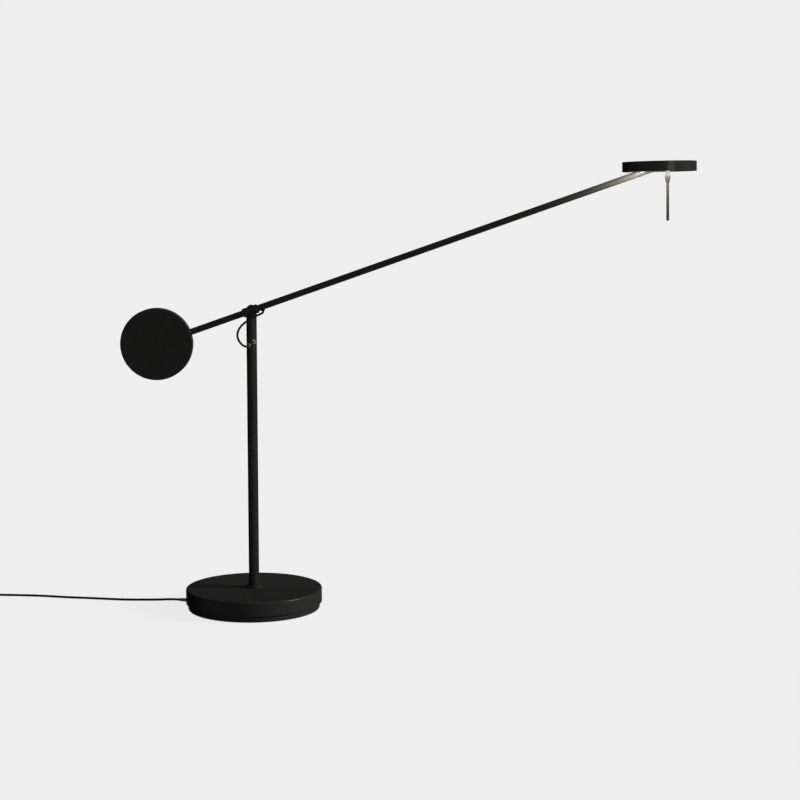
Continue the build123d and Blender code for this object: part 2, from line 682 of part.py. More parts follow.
def arm_tube():
    """The arm, with holes for the pivot screw and the cable grommet."""
    tube = along_arm(ARM_START, ARM_END, ARM_RADIUS, ARM_BORE)
    tube -= backwards(0, 0, SLEEVE_RADIUS, PIVOT_SCREW_RADIUS + SLIP)
    return tube - rod(grommet_point(0), grommet_point(SLEEVE_RADIUS), GROMMET_NECK + SLIP)


def pivot_insert():
    """The threaded slug inside the arm that takes the pivot screw."""
    slug = along_arm(-INSERT_LENGTH / 2, INSERT_LENGTH / 2, ARM_BORE - SLIP)
    return slug - backwards(0, -PIVOT_SCREW_REACH - SLIP, ARM_BORE, PIVOT_SCREW_RADIUS + SLIP)


def pivot_screw():
    """The screw from behind the post into the arm, on which the arm tilts."""
    head_face = HEAD_SEAT + PIVOT_HEAD_HEIGHT
    screw = backwards(0, -PIVOT_SCREW_REACH, HEAD_SEAT, PIVOT_SCREW_RADIUS)
    screw += backwards(0, HEAD_SEAT, head_face, PIVOT_HEAD_RADIUS)
    return screw - hex_recess(0, head_face, PIVOT_HEX, PIVOT_HEX_DEPTH)


def spring_washer():
    """The spring washer under the pivot screw's head."""
    start, end = (0, WASHER_SEAT, 0), (0, HEAD_SEAT, 0)
    return ring(start, end, PIVOT_HEAD_RADIUS - SLIP, PIVOT_SCREW_RADIUS + SLIP)


def arm_grommet():
    """The grommet that leads the cable into the arm, shaped to the arm."""
    brim = rod(grommet_point(ARM_BORE), grommet_point(GROMMET_OUTLET), GROMMET_NECK + GROMMET_BRIM)
    brim -= along_arm(0, 2 * GROMMET_AT, ARM_RADIUS)
    neck = rod(grommet_point(ARM_BORE), grommet_point(GROMMET_OUTLET), GROMMET_NECK)
    return brim + neck - rod(grommet_point(0), grommet_point(GROMMET_OUTLET), LOOP_RADIUS + SLIP)


def arm_lead():
    """The lead inside the arm, from the grommet to the tip."""
    start = grommet_point(ARM_BORE - LEAD_RADIUS - SLIP)
    end = start + Vector(SHANK_BACK - LEAD_END_GAP - GROMMET_AT, 0, 0)
    lead = rod(start, end, LEAD_RADIUS) + Location(start) * Sphere(LEAD_RADIUS)
    return lead + rod(start, grommet_point(GROMMET_OUTLET), LEAD_RADIUS)


def weight_screw_at():
    """Where the counterweight's set screw sits, along the arm."""
    return -WEIGHT_REACH + WEIGHT_RADIUS - WEIGHT_SOCKET / 2


def counterweight():
    """The disc at the arm's short end, with the arm's socket in its rim."""
    half = WEIGHT_THICKNESS / 2
    weight = backwards(-WEIGHT_REACH, -half, half, WEIGHT_RADIUS)
    weight = fillet(weight.edges().filter_by(GeomType.CIRCLE), WEIGHT_EDGE)
    weight -= along_arm(ARM_START - SLIP, 0, ARM_RADIUS + SLIP)
    return weight - backwards(weight_screw_at(), 0, half, WEIGHT_SCREW_RADIUS + SLIP)


def weight_set_screw():
    """The set screw in the counterweight's rear face."""
    face = WEIGHT_THICKNESS / 2 - WEIGHT_SCREW_SINK
    screw = backwards(weight_screw_at(), ARM_RADIUS + SLIP, face, WEIGHT_SCREW_RADIUS)
    return screw - hex_recess(weight_screw_at(), face, WEIGHT_HEX, WEIGHT_HEX_DEPTH)


def arm_nodes():
    """Every piece that tilts with the arm, in the arm's frame."""
    return {
        "arm_sleeve": arm_sleeve(),
        "sleeve_set_screw": sleeve_set_screw(),
        "arm_tube": arm_tube(),
        "pivot_insert": pivot_insert(),
        "pivot_screw": pivot_screw(),
        "spring_washer": spring_washer(),
        "arm_grommet": arm_grommet(),
        "arm_lead": arm_lead(),
        "counterweight": counterweight(),
        "weight_set_screw": weight_set_screw(),
        "tip_bush": along_arm(BUSH_BACK, ARM_END, ARM_BORE - SLIP, SHANK_RADIUS + RUNNING),
    }


# Knuckle, in the arm's frame


def head_knuckle():
    """The knuckle that turns in the arm's tip and carries the hinge."""
    face = ARM_END + KNUCKLE_PLAY
    shoulder = HEAD_REACH - SHOULDER_REACH
    half = TONGUE_THICKNESS / 2
    knuckle = along_arm(SHANK_BACK, face, SHANK_RADIUS) + along_arm(face, shoulder, ARM_RADIUS)
    knuckle += backwards(HEAD_REACH, -half, half, TONGUE_RADIUS)
    start = (face + shoulder) / 2
    blade = Box(HEAD_REACH - start, TONGUE_THICKNESS, 2 * TONGUE_RADIUS)
    knuckle += Location(((HEAD_REACH + start) / 2, 0, 0)) * blade
    return knuckle - backwards(HEAD_REACH, -half, half, HINGE_PIN_RADIUS + RUNNING)


def knuckle_clip():
    """The ring that keeps the knuckle's shank in the bush."""
    end = BUSH_BACK - 2 * AXIAL
    return along_arm(end - CLIP_THICKNESS, end, ARM_BORE - CLIP_GAP, SHANK_RADIUS + SLIP)


def knuckle_nodes():
    """Every piece that rolls at the arm's tip, in the arm's frame."""
    return {"head_knuckle": head_knuckle(), "knuckle_clip": knuckle_clip()}


# Head, in its own frame: origin at the hinge, Z square to the disc


def hub_screw_places(height):
    """Where the hub's screws stand, round the hinge."""
    return [polar(HUB_SCREW_CIRCLE, azimuth, height) for azimuth in HUB_SCREW_AZIMUTHS]


def head_shell():
    """The round dish, open below."""
    outer = disc(LIP, HEAD_HEIGHT / 2, HEAD_RADIUS)
    outer = fillet(outer.edges().sort_by(Axis.Z)[-1], HEAD_EDGE_ROUND)
    shell = outer - disc(LIP, SHELL_CEILING, HEAD_BORE)
    for foot in hub_screw_places(SHELL_CEILING):
        shell -= rod(foot, up(foot, HUB_SCREW_REACH + SLIP), HUB_SCREW_RADIUS + SLIP)
    return shell


def head_hub():
    """The bracket under the shell: plate, hinge ears and screw holes."""
    hub = disc(HUB_PLATE_BOTTOM, SHELL_CEILING, HUB_PLATE_RADIUS)
    for side in (-1, 1):
        near, far = side * EAR_FACE, side * (EAR_FACE + EAR_THICKNESS)
        web = Box(2 * EAR_RADIUS, EAR_THICKNESS, SHELL_CEILING)
        hub += rod((0, near, 0), (0, far, 0), EAR_RADIUS)
        hub += Location((0, (near + far) / 2, SHELL_CEILING / 2)) * web
    hub -= hinge_pin(SLIP)
    for foot in hub_screw_places(HUB_PLATE_BOTTOM):
        hub -= rod(foot, up(foot, HUB_PLATE_THICKNESS), HUB_SCREW_RADIUS + SLIP)
    return hub


def hub_screws():
    """The screws that hold the hub to the shell."""
    screws = []
    for seat in hub_screw_places(HUB_PLATE_BOTTOM):
        shank = rod(seat, up(seat, HUB_PLATE_THICKNESS + HUB_SCREW_REACH), HUB_SCREW_RADIUS)
        screws.append(shank + rod(up(seat, -HUB_SCREW_HEAD_HEIGHT), seat, HUB_SCREW_HEAD_RADIUS))
    return Compound(children=screws)


def hinge_pin(play=0.0):
    """The pin on which the head tilts."""
    half = EAR_FACE + EAR_THICKNESS
    return rod((0, -half, 0), (0, half, 0), HINGE_PIN_RADIUS + play)


def light_chips():
    """The light chips, evenly spaced on the board's underside."""
    chips = []
    for i in range(CHIP_COUNT):
        azimuth = 360 / CHIP_COUNT * (i + 0.5)
        place = polar(CHIP_CIRCLE, azimuth, LIGHT_BOARD_BOTTOM - CHIP_THICKNESS / 2)
        chips.append(Location(place, (0, 0, azimuth)) * Box(CHIP_LENGTH, CHIP_WIDTH, CHIP_THICKNESS))
    return Compound(children=chips)


def diffuser():
    """The opal ring under the light, with a slot for the arm."""
    plate = disc(DIFFUSER_BOTTOM, DIFFUSER_TOP, HEAD_BORE - SLIP, HUB_PLATE_RADIUS + DIFFUSER_MARGIN)
    width = 2 * (ARM_RADIUS + DIFFUSER_SLOT_PLAY)
    middle = (DIFFUSER_BOTTOM + DIFFUSER_TOP) / 2
    slot = Location((-DIFFUSER_SLOT_END / 2, 0, middle)) * Box(DIFFUSER_SLOT_END, width, DIFFUSER_THICKNESS)
    end = (-DIFFUSER_SLOT_END, 0, DIFFUSER_BOTTOM)
    return plate - slot - rod(end, (-DIFFUSER_SLOT_END, 0, DIFFUSER_TOP), width / 2)


def handle_socket():
    """The bulged socket that holds the handle rod under the hub."""
    bulge = (SOCKET_BULGE_RADIUS, 0, LIP - SOCKET_BULGE_DROP)
    end = LIP - SOCKET_DROP
    neck, foot = (SOCKET_NECK_RADIUS, 0, LIP), (SOCKET_END_RADIUS, 0, end)
    swell = Spline(neck, bulge, foot, tangents=[(0, 0, -1), (-SOCKET_END_SLOPE, 0, -1)])
    top = (SOCKET_NECK_RADIUS, 0, HUB_PLATE_BOTTOM)
    rest = Polyline(foot, (0, 0, end), (0, 0, HUB_PLATE_BOTTOM), top, neck)
    socket = revolve(make_face([*swell.edges(), *rest.edges()]), Axis.Z)
    return socket - disc(end, end + SOCKET_DEPTH, ROD_RADIUS + SLIP)


def handle_rod():
    """The handle rod, with a round tip."""
    centre = LIP - ROD_DROP + ROD_RADIUS
    bar = disc(centre, LIP - SOCKET_DROP + SOCKET_DEPTH, ROD_RADIUS)
    return bar + Location((0, 0, centre)) * Sphere(ROD_RADIUS)


def head_nodes():
    """Every piece that tilts with the head, in the head's frame."""
    handle = Location((HANDLE_OFFSET, 0, 0))
    spacer, spreader, board = HEAD_BORE - SLIP, HEAD_BORE - SPREADER_GAP, HEAD_BORE - LIGHT_BOARD_GAP
    board_bore = HUB_PLATE_RADIUS + LIGHT_BOARD_MARGIN
    return {
        "head_shell": head_shell(),
        "head_hub": head_hub(),
        "hub_screws": hub_screws(),
        "hinge_pin": hinge_pin(),
        "heat_spreader": disc(SPREADER_BOTTOM, SHELL_CEILING, spreader, HUB_PLATE_RADIUS + SLIP),
        "light_board": disc(LIGHT_BOARD_BOTTOM, SPREADER_BOTTOM, board, board_bore),
        "light_chips": light_chips(),
        "spacer_ring": disc(DIFFUSER_TOP, LIGHT_BOARD_BOTTOM, spacer, spacer - SPACER_WALL),
        "diffuser": diffuser(),
        "handle_socket": handle * handle_socket(),
        "handle_rod": handle * handle_rod(),
    }


# Cord, coil and adapter


def coil_point(turn):
    """The centre line of the coil after a number of turns from its start."""
    change = min(max(round(turn / LAYER_TURNS), 1), LAYERS - 1)
    past = turn - change * LAYER_TURNS
    if abs(past) <= HALF_CLIMB:
        depth = LAYER_TURNS - past**2 / (2 * HALF_CLIMB) - HALF_CLIMB / 2
        climb = change - (1 + math.cos(math.pi * (past + HALF_CLIMB) / (2 * HALF_CLIMB))) / 2
        inwards = change % 2 == 1
    else:
        climb = change - 1 if past < 0 else change
        depth = turn - climb * LAYER_TURNS
        inwards = climb % 2 == 0
    radius = COIL_RADIUS - COIL_PITCH * (depth if inwards else LAYER_TURNS - depth)
    return COIL_CENTRE + polar(radius, COIL_START + 360 * turn, COIL_PITCH * climb)


def coil_way(turn):
    """The coil's direction after a number of turns."""
    step = 1e-4
    return (coil_point(turn + step) - coil_point(turn - step)).normalized()


def biarc(start, start_way, end, end_way):
    """Two tangent arcs between two points with a direction at each."""
    chord = end - start
    square = 2 * (1 - start_way.dot(end_way))
    along = chord.dot(start_way + end_way)
    reach = (math.sqrt(along**2 + square * chord.dot(chord)) - along) / square
    first, second = start + start_way * reach, end - end_way * reach
    middle = (first + second) / 2
    return [
        Edge.make_tangent_arc(start, start_way, middle),
        Edge.make_tangent_arc(middle, second - first, end),
    ]


def coil_ends():
    """The outer ends of the coil's two straight stubs, each one cord's width long."""
    stub = 2 * CORD_RADIUS
    return coil_point(0) - coil_way(0) * stub, coil_point(COIL_TURNS) + coil_way(COIL_TURNS) * stub


def least_gap():
    """The coil's least gap to itself, on points along its centre line."""
    per_turn = 72
    points = [coil_point(i / per_turn) for i in range(round(COIL_TURNS * per_turn) + 1)]
    pairs = ((a, b) for i, a in enumerate(points) for b in points[i + per_turn // 2:])
    return min((a - b).length for a, b in pairs) - 2 * CORD_RADIUS


def cord_coil():
    """The stored cord, wound in layers as one unbroken tube."""
    start, end = coil_ends()
    turns = [i / ARCS_PER_TURN for i in range(round(COIL_TURNS * ARCS_PER_TURN) + 1)]
    edges = [Edge.make_line(start, coil_point(0))]
    for here, there in zip(turns, turns[1:]):
        edges += biarc(coil_point(here), coil_way(here), coil_point(there), coil_way(there))
    edges.append(Edge.make_line(coil_point(COIL_TURNS), end))
    path = Wire(edges)
    coil = sweep(Plane(origin=start, z_dir=coil_way(0)) * Circle(CORD_RADIUS), path=path)
    print_volume("cord_coil", coil, path, CORD_RADIUS)
    print("cord_coil least gap", round(least_gap(), 2))
    return coil


def mains_cord():
    """The free stretch of the cord, from the strain relief to the coil."""
    tip = FOOT_RADIUS + RELIEF_LENGTH
    points = [relief_axis(tip), relief_axis(tip + CORD_STUB)]
    points += [Vector(place) for place in CORD_ROUTE]
    points.append(coil_ends()[0])
    return routed("mains_cord", points, CORD_RADIUS)


def pin_bars(radius, start, end):
    """Two bars where the plug's pins are, in the adapter's frame."""
    half = PLUG_PIN_SPACING / 2
    return [rod((0, y, start), (0, y, end), radius) for y in (-half, half)]


def adapter_case(near, far):
    """The hollow case, with a window for its face at the pins' end."""
    middle = Location((0, 0, (near + far) / 2))
    case = fillet(Box(ADAPTER_HEIGHT, ADAPTER_WIDTH, ADAPTER_LENGTH).edges(), ADAPTER_ROUND)
    case -= Box(INNER_HEIGHT, INNER_WIDTH, ADAPTER_LENGTH - 2 * ADAPTER_WALL)
    window = Box(INNER_HEIGHT - 2 * ADAPTER_RIM, INNER_WIDTH - 2 * ADAPTER_RIM, ADAPTER_WALL)
    return middle * case - Location((0, 0, far - ADAPTER_WALL / 2)) * window


def adapter_face(far):
    """The plate that closes the case, with holes for the pins."""
    rim = 2 * (ADAPTER_RIM + SLIP)
    plate = Box(INNER_HEIGHT - rim, INNER_WIDTH - rim, ADAPTER_WALL)
    face = Location((0, 0, far - ADAPTER_WALL / 2)) * plate
    for hole in pin_bars(PLUG_PIN_RADIUS + SLIP, far - ADAPTER_WALL, far):
        face -= hole
    return face


def adapter_board(near):
    """The circuit board on the case's floor."""
    height = (ADAPTER_BOARD_THICKNESS - INNER_HEIGHT) / 2
    centre = (height, 0, near + ADAPTER_WALL + ADAPTER_BOARD_LENGTH / 2)
    return Location(centre) * Box(ADAPTER_BOARD_THICKNESS, INNER_WIDTH - 2 * SLIP, ADAPTER_BOARD_LENGTH)


def adapter_nodes():
    """The plug-in adapter: Z runs from the cord to the pins, X is up."""
    near = ADAPTER_RELIEF_LENGTH
    far = near + ADAPTER_LENGTH
    pins = pin_bars(PLUG_PIN_RADIUS, far - PLUG_PIN_ROOT, far + PLUG_PIN_LENGTH)
    return {
        "adapter_relief": tapered((0, 0, near), (0, 0, 0), RELIEF_ROOT_RADIUS, RELIEF_TIP_RADIUS),
        "adapter_case": adapter_case(near, far),
        "adapter_face": adapter_face(far),
        "adapter_board": adapter_board(near),
        "plug_pins": Compound(children=pins),
    }


def all_nodes():
    """Every piece of the lamp, by name, in the lamp's frame."""
    cord_end = Plane(origin=coil_ends()[1], x_dir=(0, 0, 1), z_dir=coil_way(COIL_TURNS))
    return {
        **base_nodes(),
        **post_nodes(),
        **place_all(arm_nodes(), ARM_FRAME),
        **place_all(knuckle_nodes(), ARM_FRAME),
        **place_all(head_nodes(), HEAD_FRAME),
        "mains_cord": mains_cord(),
        "cord_coil": cord_coil(),
        **place_all(adapter_nodes(), Location(cord_end)),
    }


os.makedirs("parts", exist_ok=True)
for node, shape in all_nodes().items():
    export_step(shape, f"parts/{node}.step")
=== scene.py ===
"""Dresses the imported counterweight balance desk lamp.

It adds finishes, cords, small moulded pieces, lights and the camera.
"""
from __future__ import annotations

import logging
import math
from collections.abc import Iterable, Sequence
from dataclasses import dataclass, field
from enum import Enum

import bmesh
import bpy
from mathutils import Matrix, Vector


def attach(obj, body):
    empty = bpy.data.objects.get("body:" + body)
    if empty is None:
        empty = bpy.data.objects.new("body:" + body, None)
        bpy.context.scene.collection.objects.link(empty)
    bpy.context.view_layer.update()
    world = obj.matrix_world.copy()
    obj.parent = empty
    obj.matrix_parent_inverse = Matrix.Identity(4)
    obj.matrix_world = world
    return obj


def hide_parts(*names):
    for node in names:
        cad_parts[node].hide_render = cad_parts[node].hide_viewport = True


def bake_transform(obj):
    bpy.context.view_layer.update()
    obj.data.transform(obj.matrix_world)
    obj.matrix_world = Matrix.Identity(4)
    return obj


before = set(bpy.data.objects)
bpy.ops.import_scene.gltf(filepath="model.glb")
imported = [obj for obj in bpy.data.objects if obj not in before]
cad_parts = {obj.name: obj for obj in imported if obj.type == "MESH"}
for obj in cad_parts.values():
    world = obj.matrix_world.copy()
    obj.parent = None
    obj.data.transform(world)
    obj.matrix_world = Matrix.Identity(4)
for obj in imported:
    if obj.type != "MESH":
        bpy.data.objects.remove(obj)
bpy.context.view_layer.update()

MM = 0.001
WELD = 1e-7
TUBE_ROUNDNESS = 5
CURVE_ORDER = 3
RIB_STEPS = 32
RIB_LEAD = 0.7
RIB_SLACK = 0.4
RIB_PROFILE = ((-1.0, -1.0), (0.6, -0.8), (1.0, -0.3), (1.0, 0.3), (0.6, 0.8), (-1.0, 1.0))
Colour = tuple[float, float, float]
Point = tuple[float, float, float]
log = logging.getLogger("desk_lamp")


class Carrier(Enum):
    """The bodies that the scene's own pieces and lights ride on."""

    BASE = "base"
    POST = "post"
    ARM = "arm"
    HEAD = "head"


class Turning(Enum):
    """The axis that a metal part was turned about, as scales that draw its tool marks out."""

    UPRIGHT = (300.0, 300.0, 9000.0)
    ALONG = (9000.0, 300.0, 300.0)
    CROSSWISE = (300.0, 9000.0, 300.0)


def metres(point: Sequence[float]) -> Vector:
    """The point, given in millimetres, as a vector in metres."""
    return Vector(point) * MM


class NodeBench:
    """The nodes of one material, whose patterns lie on object coordinates in metres."""

    def __init__(self, name: str) -> None:
        """Opens a new material and keeps its shader at hand.

        Args:
            name: The material's name.
        """
        self.material = bpy.data.materials.new(name)
        self.material.use_nodes = True
        self.tree = self.material.node_tree
        self.shader = self.tree.nodes["Principled BSDF"]
        self.place = self.add("ShaderNodeTexCoord").outputs["Object"]

    def add(self, kind: str, inputs: dict[str, object] | None = None, **settings: object) -> bpy.types.Node:
        """Adds a node.

        Args:
            kind: The node's type name.
            inputs: Values for its input sockets, by socket name.
            settings: Values for the node's own properties.

        Returns:
            The new node.
        """
        node = self.tree.nodes.new(kind)
        for key, value in settings.items():
            setattr(node, key, value)
        for key, value in (inputs or {}).items():
            node.inputs[key].default_value = value
        return node

    def join(self, source: bpy.types.NodeSocket, node: bpy.types.Node, socket: str | int) -> None:
        """Links a source socket to a node's input."""
        self.tree.links.new(source, node.inputs[socket])

    def shape(self, **values: object) -> None:
        """Sets constants on the shader's sockets, whose names have underscores here."""
        for key, value in values.items():
            self.shader.inputs[key.replace("_", " ")].default_value = value

    def moved(self, centre: Point, scale: Point = (1.0, 1.0, 1.0)) -> bpy.types.NodeSocket:
        """Object coordinates measured from a centre.

        Args:
            centre: The new origin, in metres.
            scale: What each axis is multiplied by.

        Returns:
            The socket with the moved coordinates.
        """
        shift = tuple(-c * s for c, s in zip(centre, scale))
        mapping = self.add("ShaderNodeMapping", {"Location": shift, "Scale": scale})
        self.join(self.place, mapping, "Vector")
        return mapping.outputs["Vector"]

    def noise(
        self, scale: float, detail: float = 2.0, where: bpy.types.NodeSocket | None = None
    ) -> bpy.types.NodeSocket:
        """A noise pattern from 0 to 1.

        Args:
            scale: Features to the metre.
            detail: How many finer layers it has.
            where: The coordinates, or None for the object's own.

        Returns:
            The factor's socket.
        """
        node = self.add("ShaderNodeTexNoise", {"Scale": scale, "Detail": detail})
        self.join(where or self.place, node, "Vector")
        return node.outputs[0]

    def span(
        self,
        value: bpy.types.NodeSocket,
        low: float,
        high: float,
        start: float = 0.3,
        end: float = 0.7,
    ) -> bpy.types.NodeSocket:
        """Maps a value from start..end to low..high, clamped."""
        node = self.add(
            "ShaderNodeMapRange",
            {"From Min": start, "From Max": end, "To Min": low, "To Max": high},
        )
        self.join(value, node, "Value")
        return node.outputs["Result"]

    def sum(
        self, first: bpy.types.NodeSocket, second: bpy.types.NodeSocket | float, how: str = "ADD"
    ) -> bpy.types.NodeSocket:
        """Two values joined by a plain sum, or by another math operation.

        Args:
            first: The first value.
            second: The second value, or a number.
            how: The operation's name.

        Returns:
            The result's socket.
        """
        node = self.add("ShaderNodeMath", operation=how)
        self.join(first, node, 0)
        if isinstance(second, (int, float)):
            node.inputs[1].default_value = second
        else:
            self.join(second, node, 1)
        return node.outputs[0]

    def radius(self, centre: Point) -> bpy.types.NodeSocket:
        """The level distance from an upright axis through a centre."""
        node = self.add("ShaderNodeVectorMath", operation="LENGTH")
        self.join(self.moved(centre, (1.0, 1.0, 0.0)), node, 0)
        return node.outputs["Value"]

    def tint(
        self, value: bpy.types.NodeSocket, stops: Sequence[tuple[float, Colour]]
    ) -> bpy.types.NodeSocket:
        """Colours a value from 0 to 1.

        Args:
            value: The value's socket.
            stops: Pairs of place and linear colour, in order.

        Returns:
            The colour's socket.
        """
        node = self.add("ShaderNodeValToRGB")
        points = node.color_ramp.elements
        while len(points) < len(stops):
            points.new(1.0)
        for point, (place, colour) in zip(points, stops):
            point.position = place
            point.color = (*colour, 1.0)
        self.join(value, node, 0)
        return node.outputs["Color"]

    def paint(self, pattern: bpy.types.NodeSocket, dark: Colour, light: Colour) -> None:
        """Colours the surface from dark to light by a pattern."""
        colour = self.tint(self.span(pattern, 0.0, 1.0), [(0.0, dark), (1.0, light)])
        self.join(colour, self.shader, "Base Color")

    def dull(self, pattern: bpy.types.NodeSocket, low: float, high: float) -> None:
        """Roughens the surface from low to high by a pattern."""
        self.join(self.span(pattern, low, high), self.shader, "Roughness")

    def relief(self, height: bpy.types.NodeSocket, depth: float, strength: float = 1.0) -> None:
        """Stands a height pattern proud of the surface.

        Args:
            height: The pattern, from 0 to 1.
            depth: Its depth in metres.
            strength: How much of it shows.
        """
        node = self.add("ShaderNodeBump", {"Strength": strength, "Distance": depth})
        self.join(height, node, "Height")
        self.join(node.outputs["Normal"], self.shader, "Normal")


@dataclass(frozen=True)
class PowderCoat:
    """Matt black powder coating: a fine grain over a slow orange peel, glossier where it lies thick."""

    name: str = "powder_coat"
    thin: Colour = (0.0155, 0.0155, 0.0151)
    thick: Colour = (0.0178, 0.0177, 0.0172)
    roughness: tuple[float, float] = (0.2, 0.26)
    metallic: float = 0.2
    edge: float = 0.28
    grain: float = 2300.0
    peel: float = 160.0
    peel_share: float = 1.6
    depth: float = 0.000012
    relief: float = 0.25

    def make(self) -> bpy.types.Material:
        """Builds the coating's nodes."""
        bench = NodeBench(self.name)
        peel = bench.noise(self.peel, 3.0)
        grain = bench.noise(self.grain, 1.0)
        bench.paint(peel, self.thin, self.thick)
        bench.dull(peel, self.roughness[1], self.roughness[0])
        height = bench.sum(grain, bench.sum(peel, self.peel_share, "MULTIPLY"))
        bench.relief(height, self.depth, self.relief)
        tint = (self.edge, self.edge, self.edge, 1.0)
        bench.shape(Metallic=self.metallic, Specular_IOR_Level=0.0, Specular_Tint=tint)
        return bench.material


@dataclass(frozen=True)
class SoftRubber:
    """Black rubber or soft PVC with a dull skin, and rings pressed into it where it has a centre."""

    name: str = "soft_rubber"
    dark: Colour = (0.0060, 0.0060, 0.0060)
    light: Colour = (0.0125, 0.0124, 0.0122)
    roughness: tuple[float, float] = (0.5, 0.68)
    shine: float = 0.3
    rings_about: Point | None = None
    ring_pitch: float = 0.004
    skin: float = 700.0
    cloud: float = 90.0
    skin_depth: float = 0.00002
    ring_depth: float = 0.0003

    def make(self) -> bpy.types.Material:
        """Builds the rubber's nodes."""
        bench = NodeBench(self.name)
        skin = bench.noise(self.skin, 3.0)
        bench.paint(skin, self.dark, self.light)
        bench.dull(bench.noise(self.cloud), *self.roughness)
        if self.rings_about is None:
            bench.relief(skin, self.skin_depth, 0.5)
        else:
            turns = bench.sum(bench.radius(self.rings_about), math.tau / self.ring_pitch, "MULTIPLY")
            rings = bench.sum(turns, 0.0, "SINE")
            bench.relief(bench.sum(rings, bench.sum(skin, 0.3, "MULTIPLY")), self.ring_depth, 0.8)
        bench.shape(Specular_IOR_Level=self.shine)
        return bench.material


@dataclass(frozen=True)
class TurnedMetal:
    """Bare metal with fine tool marks, drawn out round its axis."""

    name: str
    dark: Colour
    light: Colour
    roughness: tuple[float, float] = (0.26, 0.4)
    turning: Turning = Turning.UPRIGHT
    depth: float = 0.000006

    def make(self) -> bpy.types.Material:
        """Builds the metal's nodes."""
        bench = NodeBench(self.name)
        marks = bench.noise(1.0, 2.0, bench.moved((0.0, 0.0, 0.0), self.turning.value))
        bench.paint(marks, self.dark, self.light)
        bench.dull(marks, *self.roughness)
        bench.relief(marks, self.depth, 0.5)
        bench.shape(Metallic=1.0)
        return bench.material


@dataclass(frozen=True)
class CastIron:
    """Grey iron as cast: dark, rough and slightly pitted."""

    name: str = "cast_iron"
    dark: Colour = (0.045, 0.043, 0.042)
    light: Colour = (0.14, 0.135, 0.13)
    roughness: tuple[float, float] = (0.72, 0.5)
    skin: float = 420.0
    pits: float = 900.0
    depth: float = 0.00025

    def make(self) -> bpy.types.Material:
        """Builds the iron's nodes."""
        bench = NodeBench(self.name)
        skin = bench.noise(self.skin, 6.0)
        pits = bench.add("ShaderNodeTexVoronoi", {"Scale": self.pits})
        bench.join(bench.place, pits, "Vector")
        bench.paint(skin, self.dark, self.light)
        bench.dull(skin, *self.roughness)
        pitted = bench.span(pits.outputs["Distance"], 0.0, 0.6, 0.0, 0.5)
        bench.relief(bench.sum(skin, pitted), self.depth, 0.8)
        bench.shape(Metallic=0.8)
        return bench.material


@dataclass(frozen=True)
class MouldedPlastic:
    """Spark-textured moulding, with a parting line at one height where it has one."""

    name: str
    dark: Colour
    light: Colour
    roughness: tuple[float, float] = (0.44, 0.58)
    parting: float | None = None
    spark: float = 1800.0
    cloud: float = 60.0
    depth: float = 0.0001
    seam: tuple[float, float] = (0.0001, 0.00035)

    def make(self) -> bpy.types.Material:
        """Builds the plastic's nodes."""
        bench = NodeBench(self.name)
        texture = bench.noise(self.spark, 2.0)
        bench.paint(bench.noise(self.cloud), self.dark, self.light)
        bench.dull(texture, *self.roughness)
        height = bench.span(texture, 0.0, 0.25)
        if self.parting is not None:
            split = bench.add("ShaderNodeSeparateXYZ")
            bench.join(bench.moved((0.0, 0.0, self.parting)), split, 0)
            away = bench.sum(split.outputs["Z"], 0.0, "ABSOLUTE")
            height = bench.sum(height, bench.span(away, 0.0, 3.0, *self.seam))
        bench.relief(height, self.depth, 0.7)
        bench.shape(Specular_IOR_Level=0.4)
        return bench.material


@dataclass(frozen=True)
class CircuitBoard:
    """Solder-masked board: tracks show as a paler network under the lacquer."""

    name: str
    mask: Colour
    tracks: Colour
    cells: float = 260.0
    edge: tuple[float, float] = (0.55, 0.62)
    depth: float = 0.00003

    def make(self) -> bpy.types.Material:
        """Builds the board's nodes."""
        bench = NodeBench(self.name)
        cells = bench.add(
            "ShaderNodeTexVoronoi", {"Scale": self.cells}, distance="MANHATTAN", feature="F1"
        )
        bench.join(bench.place, cells, "Vector")
        lines = bench.span(cells.outputs["Distance"], 0.0, 1.0, *self.edge)
        bench.join(bench.tint(lines, [(0.0, self.mask), (1.0, self.tracks)]), bench.shader, "Base Color")
        bench.dull(bench.noise(500.0), 0.24, 0.36)
        bench.relief(lines, self.depth, 0.6)
        return bench.material


@dataclass(frozen=True)
class Phosphor:
    """The yellow phosphor of the light chips, which glows by itself."""

    name: str = "light_chip_phosphor"
    dark: Colour = (0.62, 0.42, 0.07)
    light: Colour = (0.82, 0.62, 0.16)
    glow: Colour = (1.0, 0.78, 0.48)
    strength: float = 6.0
    grain: float = 3000.0
    depth: float = 0.00002

    def make(self) -> bpy.types.Material:
        """Builds the phosphor's nodes."""
        bench = NodeBench(self.name)
        grain = bench.noise(self.grain, 2.0)
        bench.paint(grain, self.dark, self.light)
        bench.shape(Roughness=0.4, Emission_Color=(*self.glow, 1.0), Emission_Strength=self.strength)
        bench.relief(grain, self.depth, 0.5)
        return bench.material


